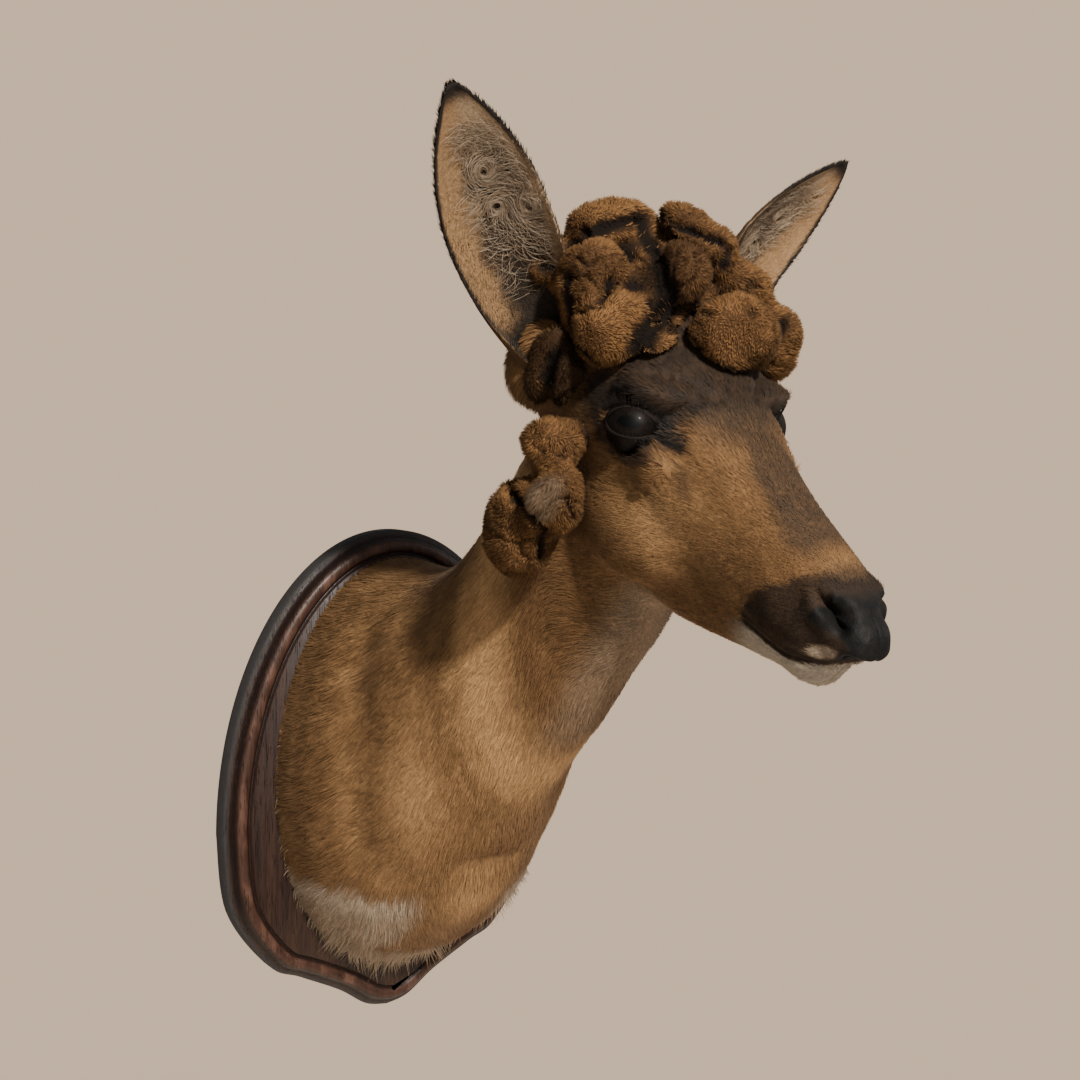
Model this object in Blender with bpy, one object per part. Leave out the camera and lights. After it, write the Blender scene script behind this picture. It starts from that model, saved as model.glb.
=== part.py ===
"""Roe buck shoulder mount: head, neck and shoulders on a moulded wall board.

The buck wears a perruque, a soft mass of velvet lobes in place of antlers.
Metres, +Z up.  The board's back lies on the plane y = 0, the buck looks along -Y,
and its right side is on -X.  Head sizes are given in the head's own frame:
"ahead" runs from between the eyes to the tip of the nose, "up" is square to it.
"""
import math
from collections import namedtuple

import bmesh
import bpy
from mathutils import Matrix, Vector

# ---------------------------------------------------------------- driving sizes
GAP = 0.0003                      # clearance kept between neighbouring pieces

BOARD_THICK = 0.018               # back to the flat field
BOARD_HALF_WIDTH = 0.1105
BOARD_WIDEST_Z = -0.027           # height of the widest line
BOARD_TOP_Z = 0.150
BOARD_LOWER_EDGE = (              # half outline below the widest line: x, z
    (0.1105, -0.027), (0.1045, -0.074), (0.0800, -0.1100), (0.0600, -0.1205),
    (0.0335, -0.1340), (0.0150, -0.1465), (0.0000, -0.1500))
BOARD_PROFILE = (                 # edge moulding: inset from the outline, height off the wall
    (0.0000, 0.0000), (0.0000, 0.0085), (0.0025, 0.0102), (0.0044, 0.0122),
    (0.0051, 0.0148), (0.0068, 0.0170), (0.0094, 0.0178), (0.0120, 0.0172),
    (0.0128, 0.0160), (0.0140, 0.0160), (0.0148, 0.0180))

EYE_MID = Vector((0.0, -0.2932, 0.2196))      # point halfway between the eyes
HEAD_DROP = math.radians(32.5)                # nose line below level
EYE_RADIUS = 0.0126
EYE_OUT = 0.0380                              # eyeball centre from the middle plane
EYE_AHEAD = 0.0010
EYE_UP = 0.0000

MOUTH_CORNER_AHEAD = 0.080
MOUTH_UP = -0.0400                            # height of the mouth line
MOUTH_RISE = math.radians(9.0)                # the line rises towards the nose
PAD_AHEAD = 0.1130                            # back edge of the nose pad
PAD_UP = -0.0280                              # lower edge of the nose pad

EAR_ROOT = Vector((0.0400, -0.0730, -0.0100))  # out, ahead, up in the head frame
EAR_TIPS = {-1: Vector((0.1215, -0.0925, 0.1068)),     # right, pricked a little higher
            1: Vector((0.1165, -0.0935, 0.0985))}      # left
EAR_INNER_WIDTH = 0.0255
EAR_OUTER_WIDTH = 0.0250
EAR_TUBE_RADIUS = 0.0125
EAR_THICK = 0.0034
EAR_TURN = math.radians(25.0)                 # opening turned outward from straight ahead
EAR_LEAF_POWERS = (0.80, 0.85)                # how the leaf widens from the root and to the tip
EAR_LEAF_PEAK = 0.319                         # greatest value those powers give
EAR_SPREAD_ROOT = 150.0                       # half angle that the cup wraps at the root, degrees
EAR_SPREAD_FALL = 85.0                        # lost by just past half its length
EAR_SPREAD_TIP = 18.0                         # lost evenly to the tip
EAR_BOW = 0.012                               # how far the leaf bows back at half length
EAR_CUP = 0.75                                # depth of the cup as a part of a round one
EAR_END = 0.985                               # where the last section stands
EAR_EDGE_THICK = 0.35                         # edge thickness as a part of the middle's
EAR_TIP_THIN = 0.55                           # thickness lost at the tip

SHOULDER_CUT_Y = -0.105                       # middle of the neck and shoulders joint
NECK_CUT_POINT = Vector((0.0, -0.225, 0.175))  # middle of the head and neck joint
NECK_CUT_LEAN = math.radians(52.0)            # neck axis above level there

Ring = namedtuple("Ring", "ahead half_width top bottom widest top_power low_power")
HEAD_RINGS = (
    Ring(-0.0900, 0.0240, 0.0180, -0.0420, -0.010, 2.0, 2.0),
    Ring(-0.0780, 0.0340, 0.0310, -0.0620, -0.012, 2.1, 2.0),
    Ring(-0.0550, 0.0410, 0.0385, -0.0790, -0.015, 2.2, 1.9),
    Ring(-0.0300, 0.0440, 0.0370, -0.0820, -0.014, 2.3, 1.9),
    Ring(-0.0050, 0.0445, 0.0315, -0.0810, -0.010, 2.3, 1.9),
    Ring(0.0180, 0.0405, 0.0248, -0.0800, -0.012, 2.2, 1.9),
    Ring(0.0400, 0.0325, 0.0190, -0.0800, -0.018, 2.1, 1.9),
    Ring(0.0620, 0.0255, 0.0148, -0.0715, -0.020, 2.1, 2.0),
    Ring(0.0830, 0.0222, 0.0114, -0.0620, -0.020, 2.2, 2.1),
    Ring(0.1000, 0.0215, 0.0088, -0.0550, -0.020, 2.3, 2.1),
    Ring(0.1120, 0.0215, 0.0055, -0.0495, -0.018, 2.3, 2.1),
    Ring(0.1210, 0.0190, 0.0015, -0.0450, -0.014, 2.2, 2.1),
    Ring(0.1270, 0.0130, -0.0040, -0.0350, -0.012, 2.1, 2.0))

Slice = namedtuple("Slice", "top_y top_z low_y low_z half_width widest")
BODY_SLICES = (
    Slice(-0.0150, 0.1380, -0.0150, -0.1230, 0.0845, 0.47),
    Slice(-0.0550, 0.1365, -0.0660, -0.1000, 0.0835, 0.47),
    Slice(-0.0880, 0.1390, -0.1020, -0.0680, 0.0725, 0.46),
    Slice(-0.1150, 0.1490, -0.1320, -0.0280, 0.0600, 0.46),
    Slice(-0.1400, 0.1670, -0.1630, 0.0145, 0.0520, 0.47),
    Slice(-0.1620, 0.1910, -0.2000, 0.0515, 0.0470, 0.48),
    Slice(-0.1840, 0.2190, -0.2285, 0.0845, 0.0430, 0.50),
    Slice(-0.2100, 0.2450, -0.2560, 0.1125, 0.0400, 0.50),
    Slice(-0.2420, 0.2540, -0.2790, 0.1460, 0.0320, 0.50))

Lobe = namedtuple("Lobe", "out ahead up r_out r_ahead r_up")   # in the head frame, -out is right
GROWTH = {
    "growth_crown_right": (
        Lobe(-0.0250, -0.0500, 0.0260, 0.0280, 0.0400, 0.0200),
        Lobe(-0.0040, -0.0620, 0.0460, 0.0160, 0.0200, 0.0160),
        Lobe(-0.0200, -0.0830, 0.0545, 0.0250, 0.0160, 0.0160),
        Lobe(-0.0440, -0.0860, 0.0300, 0.0150, 0.0140, 0.0150),
        Lobe(-0.0405, -0.0580, 0.0400, 0.0175, 0.0170, 0.0190),
        Lobe(-0.0410, -0.0340, 0.0265, 0.0190, 0.0170, 0.0195),
        Lobe(-0.0110, -0.0400, 0.0520, 0.0155, 0.0180, 0.0190)),
    "growth_crown_left": (
        Lobe(0.0220, -0.0480, 0.0280, 0.0280, 0.0380, 0.0200),
        Lobe(0.0100, -0.0140, 0.0385, 0.0255, 0.0195, 0.0225),
        Lobe(0.0330, -0.0430, 0.0480, 0.0155, 0.0155, 0.0155),
        Lobe(0.0470, -0.0250, 0.0275, 0.0155, 0.0170, 0.0225),
        Lobe(0.0160, -0.0520, 0.0620, 0.0125, 0.0125, 0.0120),
        Lobe(0.0040, -0.0660, 0.0650, 0.0150, 0.0160, 0.0130),
        Lobe(0.0250, -0.0820, 0.0500, 0.0210, 0.0180, 0.0160),
        Lobe(0.0430, -0.0660, 0.0320, 0.0150, 0.0200, 0.0170)),
    "growth_temple_right": (
        Lobe(-0.0470, -0.0400, 0.0020, 0.0120, 0.0080, 0.0210),
        Lobe(-0.0480, -0.0580, -0.0060, 0.0115, 0.0110, 0.0230)),
    "growth_cheek_right": (
        Lobe(-0.0580, -0.0230, -0.0270, 0.0150, 0.0150, 0.0140),
        Lobe(-0.0600, -0.0200, -0.0700, 0.0180, 0.0240, 0.0260),
        Lobe(-0.0630, 0.0000, -0.0420, 0.0150, 0.0130, 0.0210))}

# swells of the face on each side: centre and radii, (out, ahead, up) in the head frame
FACE_SWELLS = (
    ((0.0360, -0.0020, 0.0128), (0.0100, 0.0210, 0.0088)),     # brow
    ((0.0290, 0.0060, -0.0440), (0.0150, 0.0430, 0.0280)),     # cheek
    ((0.0410, -0.0745, -0.0130), (0.0150, 0.0190, 0.0240)),    # root of the ear
    ((0.0130, 0.1020, -0.0220), (0.0110, 0.0240, 0.0150)),     # upper lip
    ((0.0120, 0.1180, -0.0080), (0.0100, 0.0130, 0.0110)))     # wing of the nostril
MIDDLE_SWELLS = (
    ((0.0, 0.1215, -0.0130), (0.0158, 0.0150, 0.0150)),        # nose pad
    ((0.0, 0.1268, -0.0152), (0.0160, 0.0190, 0.0125)),        # front of the upper lip
    ((0.0, 0.1130, -0.0402), (0.0145, 0.0192, 0.0100)))        # chin

VOXEL_FLESH = 0.0035
VOXEL_GROWTH = 0.0026
FLESH_PASSES = 6
GROWTH_PASSES = 2
FLESH_TRIANGLES = 2450
GROWTH_TRIANGLES = {"growth_crown_right": 560, "growth_crown_left": 640,
                    "growth_temple_right": 220, "growth_cheek_right": 360}
RING_POINTS = 40
RING_STEP = 0.004
SLICE_STEPS = 8
BOARD_TOP_STEPS = 14
BOARD_LOWER_STEPS = 3
CUT_REACH = 0.1                   # size of the boxes that part the jaw and the nose pad
EYE_SEGMENTS = 16
EAR_RINGS = 13
EAR_POINTS = 9

COAT_COLOUR = (0.33, 0.16, 0.06)
VELVET_COLOUR = (0.17, 0.08, 0.035)
PAD_COLOUR = (0.012, 0.010, 0.010)
EYE_COLOUR = (0.008, 0.006, 0.005)
WOOD_COLOUR = (0.045, 0.018, 0.011)
COAT_ROUGHNESS = 0.85
VELVET_ROUGHNESS = 0.95
PAD_ROUGHNESS = 0.5
EYE_ROUGHNESS = 0.08
WOOD_ROUGHNESS = 0.45

# ---------------------------------------------------------------- head frame
AHEAD = Vector((0.0, -math.cos(HEAD_DROP), -math.sin(HEAD_DROP)))
UP = Vector((0.0, -math.sin(HEAD_DROP), math.cos(HEAD_DROP)))
OUT = Vector((1.0, 0.0, 0.0))


def in_head(out, ahead, up):
    """Return the world point at the given head coordinates."""
    return EYE_MID + OUT * out + AHEAD * ahead + UP * up


def head_matrix(origin):
    """Return the matrix that carries (out, ahead, up) to the world at an origin."""
    turn = Matrix((OUT, AHEAD, UP)).transposed().to_4x4()
    return Matrix.Translation(origin) @ turn


# ---------------------------------------------------------------- mesh tools
def smooth_track(rows, position):
    """Return the row at a fractional position on a Catmull-Rom curve through the rows."""
    last = len(rows) - 1
    index = min(int(position), last - 1)
    t = position - index
    before, start = rows[max(index - 1, 0)], rows[index]
    end, after = rows[index + 1], rows[min(index + 2, last)]
    values = []
    for a, b, c, d in zip(before, start, end, after):
        values.append(0.5 * (2 * b + (c - a) * t + (2 * a - 5 * b + 4 * c - d) * t ** 2
                             + (3 * b - a - 3 * c + d) * t ** 3))
    return values


def power(value, exponent):
    """Return a signed power, for superellipse rings."""
    return math.copysign(abs(value) ** exponent, value)


def new_object(name, bm):
    """Make an object of a bmesh with its faces turned outward."""
    bmesh.ops.recalc_face_normals(bm, faces=bm.faces)
    mesh = bpy.data.meshes.new(name)
    bm.to_mesh(mesh)
    bm.free()
    item = bpy.data.objects.new(name, mesh)
    bpy.context.scene.collection.objects.link(item)
    return item


def loft(name, rings):
    """Skin closed rings of equal point count and close both ends."""
    bm = bmesh.new()
    loops = [[bm.verts.new(point) for point in ring] for ring in rings]
    count = len(loops[0])
    for near, far in zip(loops, loops[1:]):
        for i in range(count):
            j = (i + 1) % count
            bm.faces.new((near[i], near[j], far[j], far[i]))
    bm.faces.new(loops[0])
    bm.faces.new(loops[-1])
    return new_object(name, bm)


def ellipsoid(name, matrix, radii, segments=24):
    """Make an ellipsoid placed by a matrix."""
    bm = bmesh.new()
    bmesh.ops.create_uvsphere(bm, u_segments=segments, v_segments=segments // 2, radius=1.0)
    bmesh.ops.transform(bm, matrix=matrix @ Matrix.Diagonal((*radii, 1.0)), verts=bm.verts)
    return new_object(name, bm)


def settle(item):
    """Replace an object's mesh by its evaluated one and drop its modifiers."""
    evaluated = item.evaluated_get(bpy.context.evaluated_depsgraph_get())
    mesh = bpy.data.meshes.new_from_object(evaluated)
    item.modifiers.clear()
    old = item.data
    item.data = mesh
    bpy.data.meshes.remove(old)
    return item


def discard(item):
    """Delete a helper object and its mesh."""
    mesh = item.data
    bpy.data.objects.remove(item)
    bpy.data.meshes.remove(mesh)


def fuse(name, pieces, voxel, passes, triangles):
    """Join overlapping pieces into one smooth closed body of about the given triangles."""
    bm = bmesh.new()
    for piece in pieces:
        bm.from_mesh(piece.data)
        discard(piece)
    body = new_object(name, bm)
    remesh = body.modifiers.new("fuse", "REMESH")
    remesh.mode = "VOXEL"
    remesh.voxel_size = voxel
    ease = body.modifiers.new("ease", "SMOOTH")
    ease.factor = 0.5
    ease.iterations = passes
    settle(body)
    faces = sum(len(polygon.vertices) - 2 for polygon in body.data.polygons)
    thin = body.modifiers.new("thin", "DECIMATE")
    thin.ratio = min(1.0, triangles / faces)
    return settle(body)


def grown(item, distance):
    """Return a copy of an object pushed out along its normals."""
    copy = bpy.data.objects.new(item.name + "_grown", item.data.copy())
    bpy.context.scene.collection.objects.link(copy)
    for vertex, source in zip(copy.data.vertices, item.data.vertices):
        vertex.co = source.co + source.normal * distance
    return copy


def combine(item, tool, operation):
    """Cut an object by another with an exact Boolean."""
    step = item.modifiers.new("cut", "BOOLEAN")
    step.operation = operation
    step.solver = "EXACT"
    step.object = tool
    return settle(item)


def keep_largest(item):
    """Keep an object's largest connected body and merge its tiny edges."""
    bm = bmesh.new()
    bm.from_mesh(item.data)
    bmesh.ops.remove_doubles(bm, verts=bm.verts, dist=2e-5)
    bm.faces.ensure_lookup_table()
    left = set(bm.faces)
    islands = []
    while left:
        island = set()
        stack = [left.pop()]
        while stack:
            face = stack.pop()
            island.add(face)
            for edge in face.edges:
                for other in edge.link_faces:
                    if other in left:
                        left.remove(other)
                        stack.append(other)
        islands.append(island)
    largest = max(islands, key=len)
    doomed = [face for face in bm.faces if face not in largest]
    bmesh.ops.delete(bm, geom=doomed, context="FACES")
    bmesh.ops.triangulate(bm, faces=bm.faces)
    bm.to_mesh(item.data)
    bm.free()
    return item


def cut_off(item, point, normal):
    """Keep the side of a plane that its normal leaves, closed by a flat face."""
    bm = bmesh.new()
    bm.from_mesh(item.data)
    geometry = bm.verts[:] + bm.edges[:] + bm.faces[:]
    result = bmesh.ops.bisect_plane(bm, geom=geometry, plane_co=point, plane_no=normal,
                                    clear_outer=True, dist=1e-6)
    rim = [part for part in result["geom_cut"] if isinstance(part, bmesh.types.BMEdge)]
    bmesh.ops.edgeloop_fill(bm, edges=rim)
    bmesh.ops.recalc_face_normals(bm, faces=bm.faces)
    bm.to_mesh(item.data)
    bm.free()
    return item


def box_tool(name, matrix, low, high):
    """Make a box between two corners in a matrix's frame."""
    bm = bmesh.new()
    bmesh.ops.create_cube(bm, size=1.0)
    size = Vector(high) - Vector(low)
    middle = (Vector(high) + Vector(low)) / 2
    place = matrix @ Matrix.Translation(middle) @ Matrix.Diagonal((*size, 1.0))
    bmesh.ops.transform(bm, matrix=place, verts=bm.verts)
    return new_object(name, bm)


def copy_of(item, name):
    """Return a separate copy of an object."""
    copy = bpy.data.objects.new(name, item.data.copy())
    bpy.context.scene.collection.objects.link(copy)
    return copy


def finish(item, name, colour, roughness):
    """Name a finished piece and give it its own material."""
    item.name = name
    item.data.name = name
    material = bpy.data.materials.new(name)
    material.use_nodes = True
    shader = material.node_tree.nodes["Principled BSDF"]
    shader.inputs["Base Color"].default_value = (*colour, 1.0)
    shader.inputs["Roughness"].default_value = roughness
    shader.inputs["Metallic"].default_value = 0.0
    item.data.materials.clear()
    item.data.materials.append(material)
    return item


# ---------------------------------------------------------------- flesh
def head_ring(ring):
    """Return the points of one cross-section of the head."""
    points = []
    for i in range(RING_POINTS):
        angle = 2 * math.pi * i / RING_POINTS
        c, s = math.cos(angle), math.sin(angle)
        exponent = 2 / (ring.top_power if s > 0 else ring.low_power)
        reach = ring.top - ring.widest if s > 0 else ring.widest - ring.bottom
        points.append(in_head(ring.half_width * power(c, exponent), ring.ahead,
                              ring.widest + reach * power(s, exponent)))
    return points


def head_form():
    """Return the loft from the back of the skull to the nose."""
    length = HEAD_RINGS[-1].ahead - HEAD_RINGS[0].ahead
    count = round(length / RING_STEP)
    last = len(HEAD_RINGS) - 1
    rings = [head_ring(Ring(*smooth_track(HEAD_RINGS, last * i / count))) for i in range(count + 1)]
    return loft("head_form", rings)


def body_form():
    """Return the loft from the board up the neck into the head."""
    last = len(BODY_SLICES) - 1
    steps = last * SLICE_STEPS
    rings = []
    for i in range(steps + 1):
        cut = Slice(*smooth_track(BODY_SLICES, last * i / steps))
        top = Vector((0.0, cut.top_y, cut.top_z))
        low = Vector((0.0, cut.low_y, cut.low_z))
        middle = low.lerp(top, cut.widest)
        ring = []
        for k in range(RING_POINTS):
            angle = 2 * math.pi * k / RING_POINTS
            c, s = math.cos(angle), math.sin(angle)
            reach = (top if s > 0 else low) - middle
            ring.append(middle + OUT * (cut.half_width * c) + reach * abs(s))
        rings.append(ring)
    return loft("body_form", rings)


def face_forms():
    """Return the swells of the face: brows, cheeks, ear roots, lips, nose pad and chin."""
    forms = []
    for side in (-1, 1):
        for place, radii in FACE_SWELLS:
            centre = in_head(side * place[0], place[1], place[2])
            forms.append(ellipsoid("swell", head_matrix(centre), radii))
    for place, radii in MIDDLE_SWELLS:
        forms.append(ellipsoid("swell", head_matrix(in_head(*place)), radii))
    return forms


def eye_tool(side, gap):
    """Return an eyeball, or with a gap the hollow that holds it."""
    centre = in_head(side * EYE_OUT, EYE_AHEAD, EYE_UP)
    radius = EYE_RADIUS + gap
    return ellipsoid("eye", head_matrix(centre), (radius, radius, radius), EYE_SEGMENTS)


# ---------------------------------------------------------------- ears
def ear_section(side, t):
    """Return one closed ring of the ear's shell at a fraction of its length."""
    root = in_head(side * EAR_ROOT.x, EAR_ROOT.y, EAR_ROOT.z)
    tip = in_head(side * EAR_TIPS[side].x, EAR_TIPS[side].y, EAR_TIPS[side].z)
    along = (tip - root).normalized()
    facing = Vector((side * math.sin(EAR_TURN), -math.cos(EAR_TURN), 0.0))
    facing = (facing - along * facing.dot(along)).normalized()
    inward = facing.cross(along) * side
    widening, narrowing = EAR_LEAF_POWERS
    shape = t ** widening * (1 - t) ** narrowing / EAR_LEAF_PEAK
    tube = EAR_TUBE_RADIUS * (1 - t) ** 2
    opened = min(1.0, t * 1.9) ** 0.8
    spread = math.radians(EAR_SPREAD_ROOT - EAR_SPREAD_FALL * opened - EAR_SPREAD_TIP * t)
    bow = EAR_BOW * math.sin(math.pi * t)
    middle = root.lerp(tip, t) - facing * bow
    inner, outer = [], []
    for i in range(EAR_POINTS):
        s = 2 * i / (EAR_POINTS - 1) - 1
        half = (EAR_INNER_WIDTH if s > 0 else EAR_OUTER_WIDTH) * shape
        half = math.hypot(half, tube)
        radius = half / math.sin(min(spread, math.pi / 2))
        angle = s * spread
        lift = facing * (radius * (1 - math.cos(angle)) * EAR_CUP)
        point = middle + inward * (radius * math.sin(angle)) + lift
        normal = facing * math.cos(angle) - inward * math.sin(angle)
        thick = EAR_THICK * (1 - (1 - EAR_EDGE_THICK) * s * s) * (1 - EAR_TIP_THIN * t)
        inner.append(point + normal * thick / 2)
        outer.append(point - normal * thick / 2)
    return inner + outer[::-1]


def ear(side):
    """Return one ear as a thin cupped leaf."""
    rings = [ear_section(side, EAR_END * i / EAR_RINGS) for i in range(EAR_RINGS + 1)]
    return loft("ear", rings)


# ---------------------------------------------------------------- growth
def growth(name):
    """Return one cluster of velvet lobes."""
    pieces = []
    for lobe in GROWTH[name]:
        centre = in_head(lobe.out, lobe.ahead, lobe.up)
        pieces.append(ellipsoid("lobe", head_matrix(centre), (lobe.r_out, lobe.r_ahead, lobe.r_up)))
    return fuse(name, pieces, VOXEL_GROWTH, GROWTH_PASSES, GROWTH_TRIANGLES[name])


# ---------------------------------------------------------------- board
def board_outline():
    """Return the board's outline, anticlockwise seen from the front of the room."""
    half = []
    rise = BOARD_TOP_Z - BOARD_WIDEST_Z
    for i in range(BOARD_TOP_STEPS):
        angle = math.pi / 2 * (1 - i / BOARD_TOP_STEPS)
        half.append((BOARD_HALF_WIDTH * math.cos(angle), BOARD_WIDEST_Z + rise * math.sin(angle)))
    last = len(BOARD_LOWER_EDGE) - 1
    for i in range(last * BOARD_LOWER_STEPS + 1):
        half.append(tuple(smooth_track(BOARD_LOWER_EDGE, i / BOARD_LOWER_STEPS)))
    mirrored = [(-x, z) for x, z in half[-2:0:-1]]
    return half + mirrored


def board():
    """Return the shaped board with its moulded edge."""
    outline = [Vector(point) for point in board_outline()]
    count = len(outline)
    normals = []
    for i in range(count):
        chord = outline[(i + 1) % count] - outline[i - 1]
        normals.append(Vector((-chord.y, chord.x)).normalized())
    centre = Vector((0.0, 0.0))
    rings = []
    for inset, height in BOARD_PROFILE:
        ring = []
        for point, normal in zip(outline, normals):
            inward = normal if normal.dot(centre - point) > 0 else -normal
            moved = point + inward * inset
            ring.append(Vector((moved.x, -height, moved.y)))
        rings.append(ring)
    return loft("board", rings)


# ---------------------------------------------------------------- assembly
def build():
    """Build every piece of the mount."""
    forms = [head_form(), body_form(), *face_forms()]
    flesh = fuse("flesh", forms, VOXEL_FLESH, FLESH_PASSES, FLESH_TRIANGLES)
    cut_off(flesh, Vector((0.0, -BOARD_THICK - GAP, 0.0)), Vector((0.0, 1.0, 0.0)))

    shell = grown(flesh, GAP)
    ears = {side: ear(side) for side in (-1, 1)}
    for item in ears.values():
        keep_largest(combine(item, shell, "DIFFERENCE"))

    clusters = {}
    for name in GROWTH:
        cluster = combine(growth(name), shell, "DIFFERENCE")
        for item in (*ears.values(), *clusters.values()):
            tool = grown(item, GAP)
            combine(cluster, tool, "DIFFERENCE")
            discard(tool)
        clusters[name] = keep_largest(cluster)
    discard(shell)

    for side in (-1, 1):
        socket = eye_tool(side, GAP)
        combine(flesh, socket, "DIFFERENCE")
        discard(socket)
    keep_largest(flesh)

    half = GAP / 2
    neck_axis = Vector((0.0, -math.cos(NECK_CUT_LEAN), math.sin(NECK_CUT_LEAN)))
    back = Vector((0.0, 1.0, 0.0))
    shoulder_point = Vector((0.0, SHOULDER_CUT_Y, 0.0))
    shoulders = cut_off(copy_of(flesh, "shoulders"), shoulder_point + back * half, -back)
    neck = cut_off(copy_of(flesh, "neck"), shoulder_point - back * half, back)
    neck = cut_off(neck, NECK_CUT_POINT - neck_axis * half, neck_axis)
    head = cut_off(flesh, NECK_CUT_POINT + neck_axis * half, -neck_axis)

    mouth = head_matrix(in_head(0, MOUTH_CORNER_AHEAD, MOUTH_UP)) @ Matrix.Rotation(MOUTH_RISE, 4, "X")
    pad = head_matrix(in_head(0, PAD_AHEAD, PAD_UP))
    jaw = copy_of(head, "lower_jaw")
    nose = copy_of(head, "nose_pad")
    for item, frame, low, high in (
            (jaw, mouth, (-CUT_REACH, 0.0, -CUT_REACH), (CUT_REACH, CUT_REACH, 0.0)),
            (nose, pad, (-CUT_REACH, 0.0, 0.0), (CUT_REACH, CUT_REACH, CUT_REACH))):
        region = box_tool("region", frame, low, high)
        combine(item, region, "INTERSECT")
        discard(region)
        margin = Vector((GAP, GAP, GAP))
        wider = box_tool("region", frame, Vector(low) - margin, Vector(high) + margin)
        combine(head, wider, "DIFFERENCE")
        discard(wider)
        keep_largest(item)
    keep_largest(head)

    finish(head, "head", COAT_COLOUR, COAT_ROUGHNESS)
    finish(jaw, "lower_jaw", COAT_COLOUR, COAT_ROUGHNESS)
    finish(nose, "nose_pad", PAD_COLOUR, PAD_ROUGHNESS)
    finish(keep_largest(neck), "neck", COAT_COLOUR, COAT_ROUGHNESS)
    finish(keep_largest(shoulders), "shoulders", COAT_COLOUR, COAT_ROUGHNESS)
    for side, word in ((-1, "right"), (1, "left")):
        finish(ears[side], "ear_" + word, COAT_COLOUR, COAT_ROUGHNESS)
        finish(eye_tool(side, 0.0), "eye_" + word, EYE_COLOUR, EYE_ROUGHNESS)
    for name, item in clusters.items():
        finish(item, name, VELVET_COLOUR, VELVET_ROUGHNESS)
    finish(board(), "board", WOOD_COLOUR, WOOD_ROUGHNESS)


for old in list(bpy.data.objects):
    bpy.data.objects.remove(old)
build()
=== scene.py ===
"""Finish of a roe buck shoulder mount: skin, coat, velvet growth, eyes and wall board.

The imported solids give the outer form, out to the tips of the coat.  One skin is
remeshed from copies of the flesh nodes and set in by the coat's depth, and every
hair tuft stands on it as a thin closed spike.  Lengths are metres, +Z is up, the
buck looks along -Y and its right side is on -X.
"""
import logging
import math
from dataclasses import dataclass
from enum import Enum

import bmesh
import bpy
import numpy as np
from mathutils import Matrix, Vector
from mathutils.bvhtree import BVHTree


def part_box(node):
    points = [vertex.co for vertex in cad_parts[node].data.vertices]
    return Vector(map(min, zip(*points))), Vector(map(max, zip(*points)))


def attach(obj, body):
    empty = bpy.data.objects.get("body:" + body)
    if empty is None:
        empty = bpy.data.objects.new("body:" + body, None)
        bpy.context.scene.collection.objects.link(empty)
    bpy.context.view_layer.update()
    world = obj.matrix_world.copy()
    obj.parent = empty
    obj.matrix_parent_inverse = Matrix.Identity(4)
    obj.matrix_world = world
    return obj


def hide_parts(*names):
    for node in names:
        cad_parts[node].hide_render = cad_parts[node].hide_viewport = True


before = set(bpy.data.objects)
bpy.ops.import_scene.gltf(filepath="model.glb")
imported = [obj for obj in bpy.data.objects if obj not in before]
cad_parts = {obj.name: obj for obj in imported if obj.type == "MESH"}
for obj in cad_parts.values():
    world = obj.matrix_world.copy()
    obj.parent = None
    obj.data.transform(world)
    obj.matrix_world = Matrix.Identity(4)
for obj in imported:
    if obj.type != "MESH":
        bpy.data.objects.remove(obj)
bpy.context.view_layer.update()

LOG = logging.getLogger("mount")
BODY = "root"
UV_NAME = "OFBake"
UV_PATCH = 0.003
RIGHT, LEFT = -1, 1
SIDE_WORDS = {RIGHT: "right", LEFT: "left"}
NOSE_DROP = math.radians(32.5)
SKIN_BACK = -0.0195
# sockets of a Mix node that mixes colours
MIX_LOW, MIX_HIGH, MIX_RESULT = 6, 7, 2


# ------------------------------------------------------------------ head frame
@dataclass(frozen=True)
class HeadFrame:
    """The head's own axes: out to the buck's left, ahead to the nose, up square to both."""

    origin: np.ndarray
    ahead: np.ndarray
    up: np.ndarray

    @classmethod
    def from_nodes(cls, drop: float, eye_ahead: float) -> "HeadFrame":
        """Place the frame between the eyeballs.

        Args:
            drop: Angle of the nose line below level, in radians.
            eye_ahead: How far the eyeball centres lie ahead of the frame's origin.

        Returns:
            The frame.
        """
        corners = [np.array(c) for word in SIDE_WORDS.values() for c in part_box(f"eye_{word}")]
        ahead = np.array((0.0, -math.cos(drop), -math.sin(drop)))
        up = np.array((0.0, -math.sin(drop), math.cos(drop)))
        return cls(np.mean(corners, axis=0) - ahead * eye_ahead, ahead, up)

    def local(self, points: np.ndarray) -> np.ndarray:
        """Return (out, ahead, up) of world points."""
        offset = points - self.origin
        return np.stack((offset[:, 0], offset @ self.ahead, offset @ self.up), axis=1)

    def world(self, out: float, ahead: float, up: float) -> np.ndarray:
        """Return the world point at head coordinates."""
        return self.origin + np.array((out, 0.0, 0.0)) + self.ahead * ahead + self.up * up

    @staticmethod
    def reach(local: np.ndarray) -> np.ndarray:
        """Return how far forward local points lie, on planes that lean as the neck joins the head."""
        return local[:, 1] + local[:, 2] * 0.55


HEAD = HeadFrame.from_nodes(NOSE_DROP, 0.001)


# ------------------------------------------------------------------ number fields
def hashed(cell: np.ndarray, seed: int) -> np.ndarray:
    """Return a repeatable number from -1 to 1 for each integer cell."""
    key = cell[:, 0] * 73856093 ^ cell[:, 1] * 19349663 ^ cell[:, 2] * 83492791 ^ (seed * 26544357)
    key = (key ^ (key >> 13)) * 1274126177
    return ((key ^ (key >> 16)) & 0xFFFF) / 32767.5 - 1.0


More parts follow.
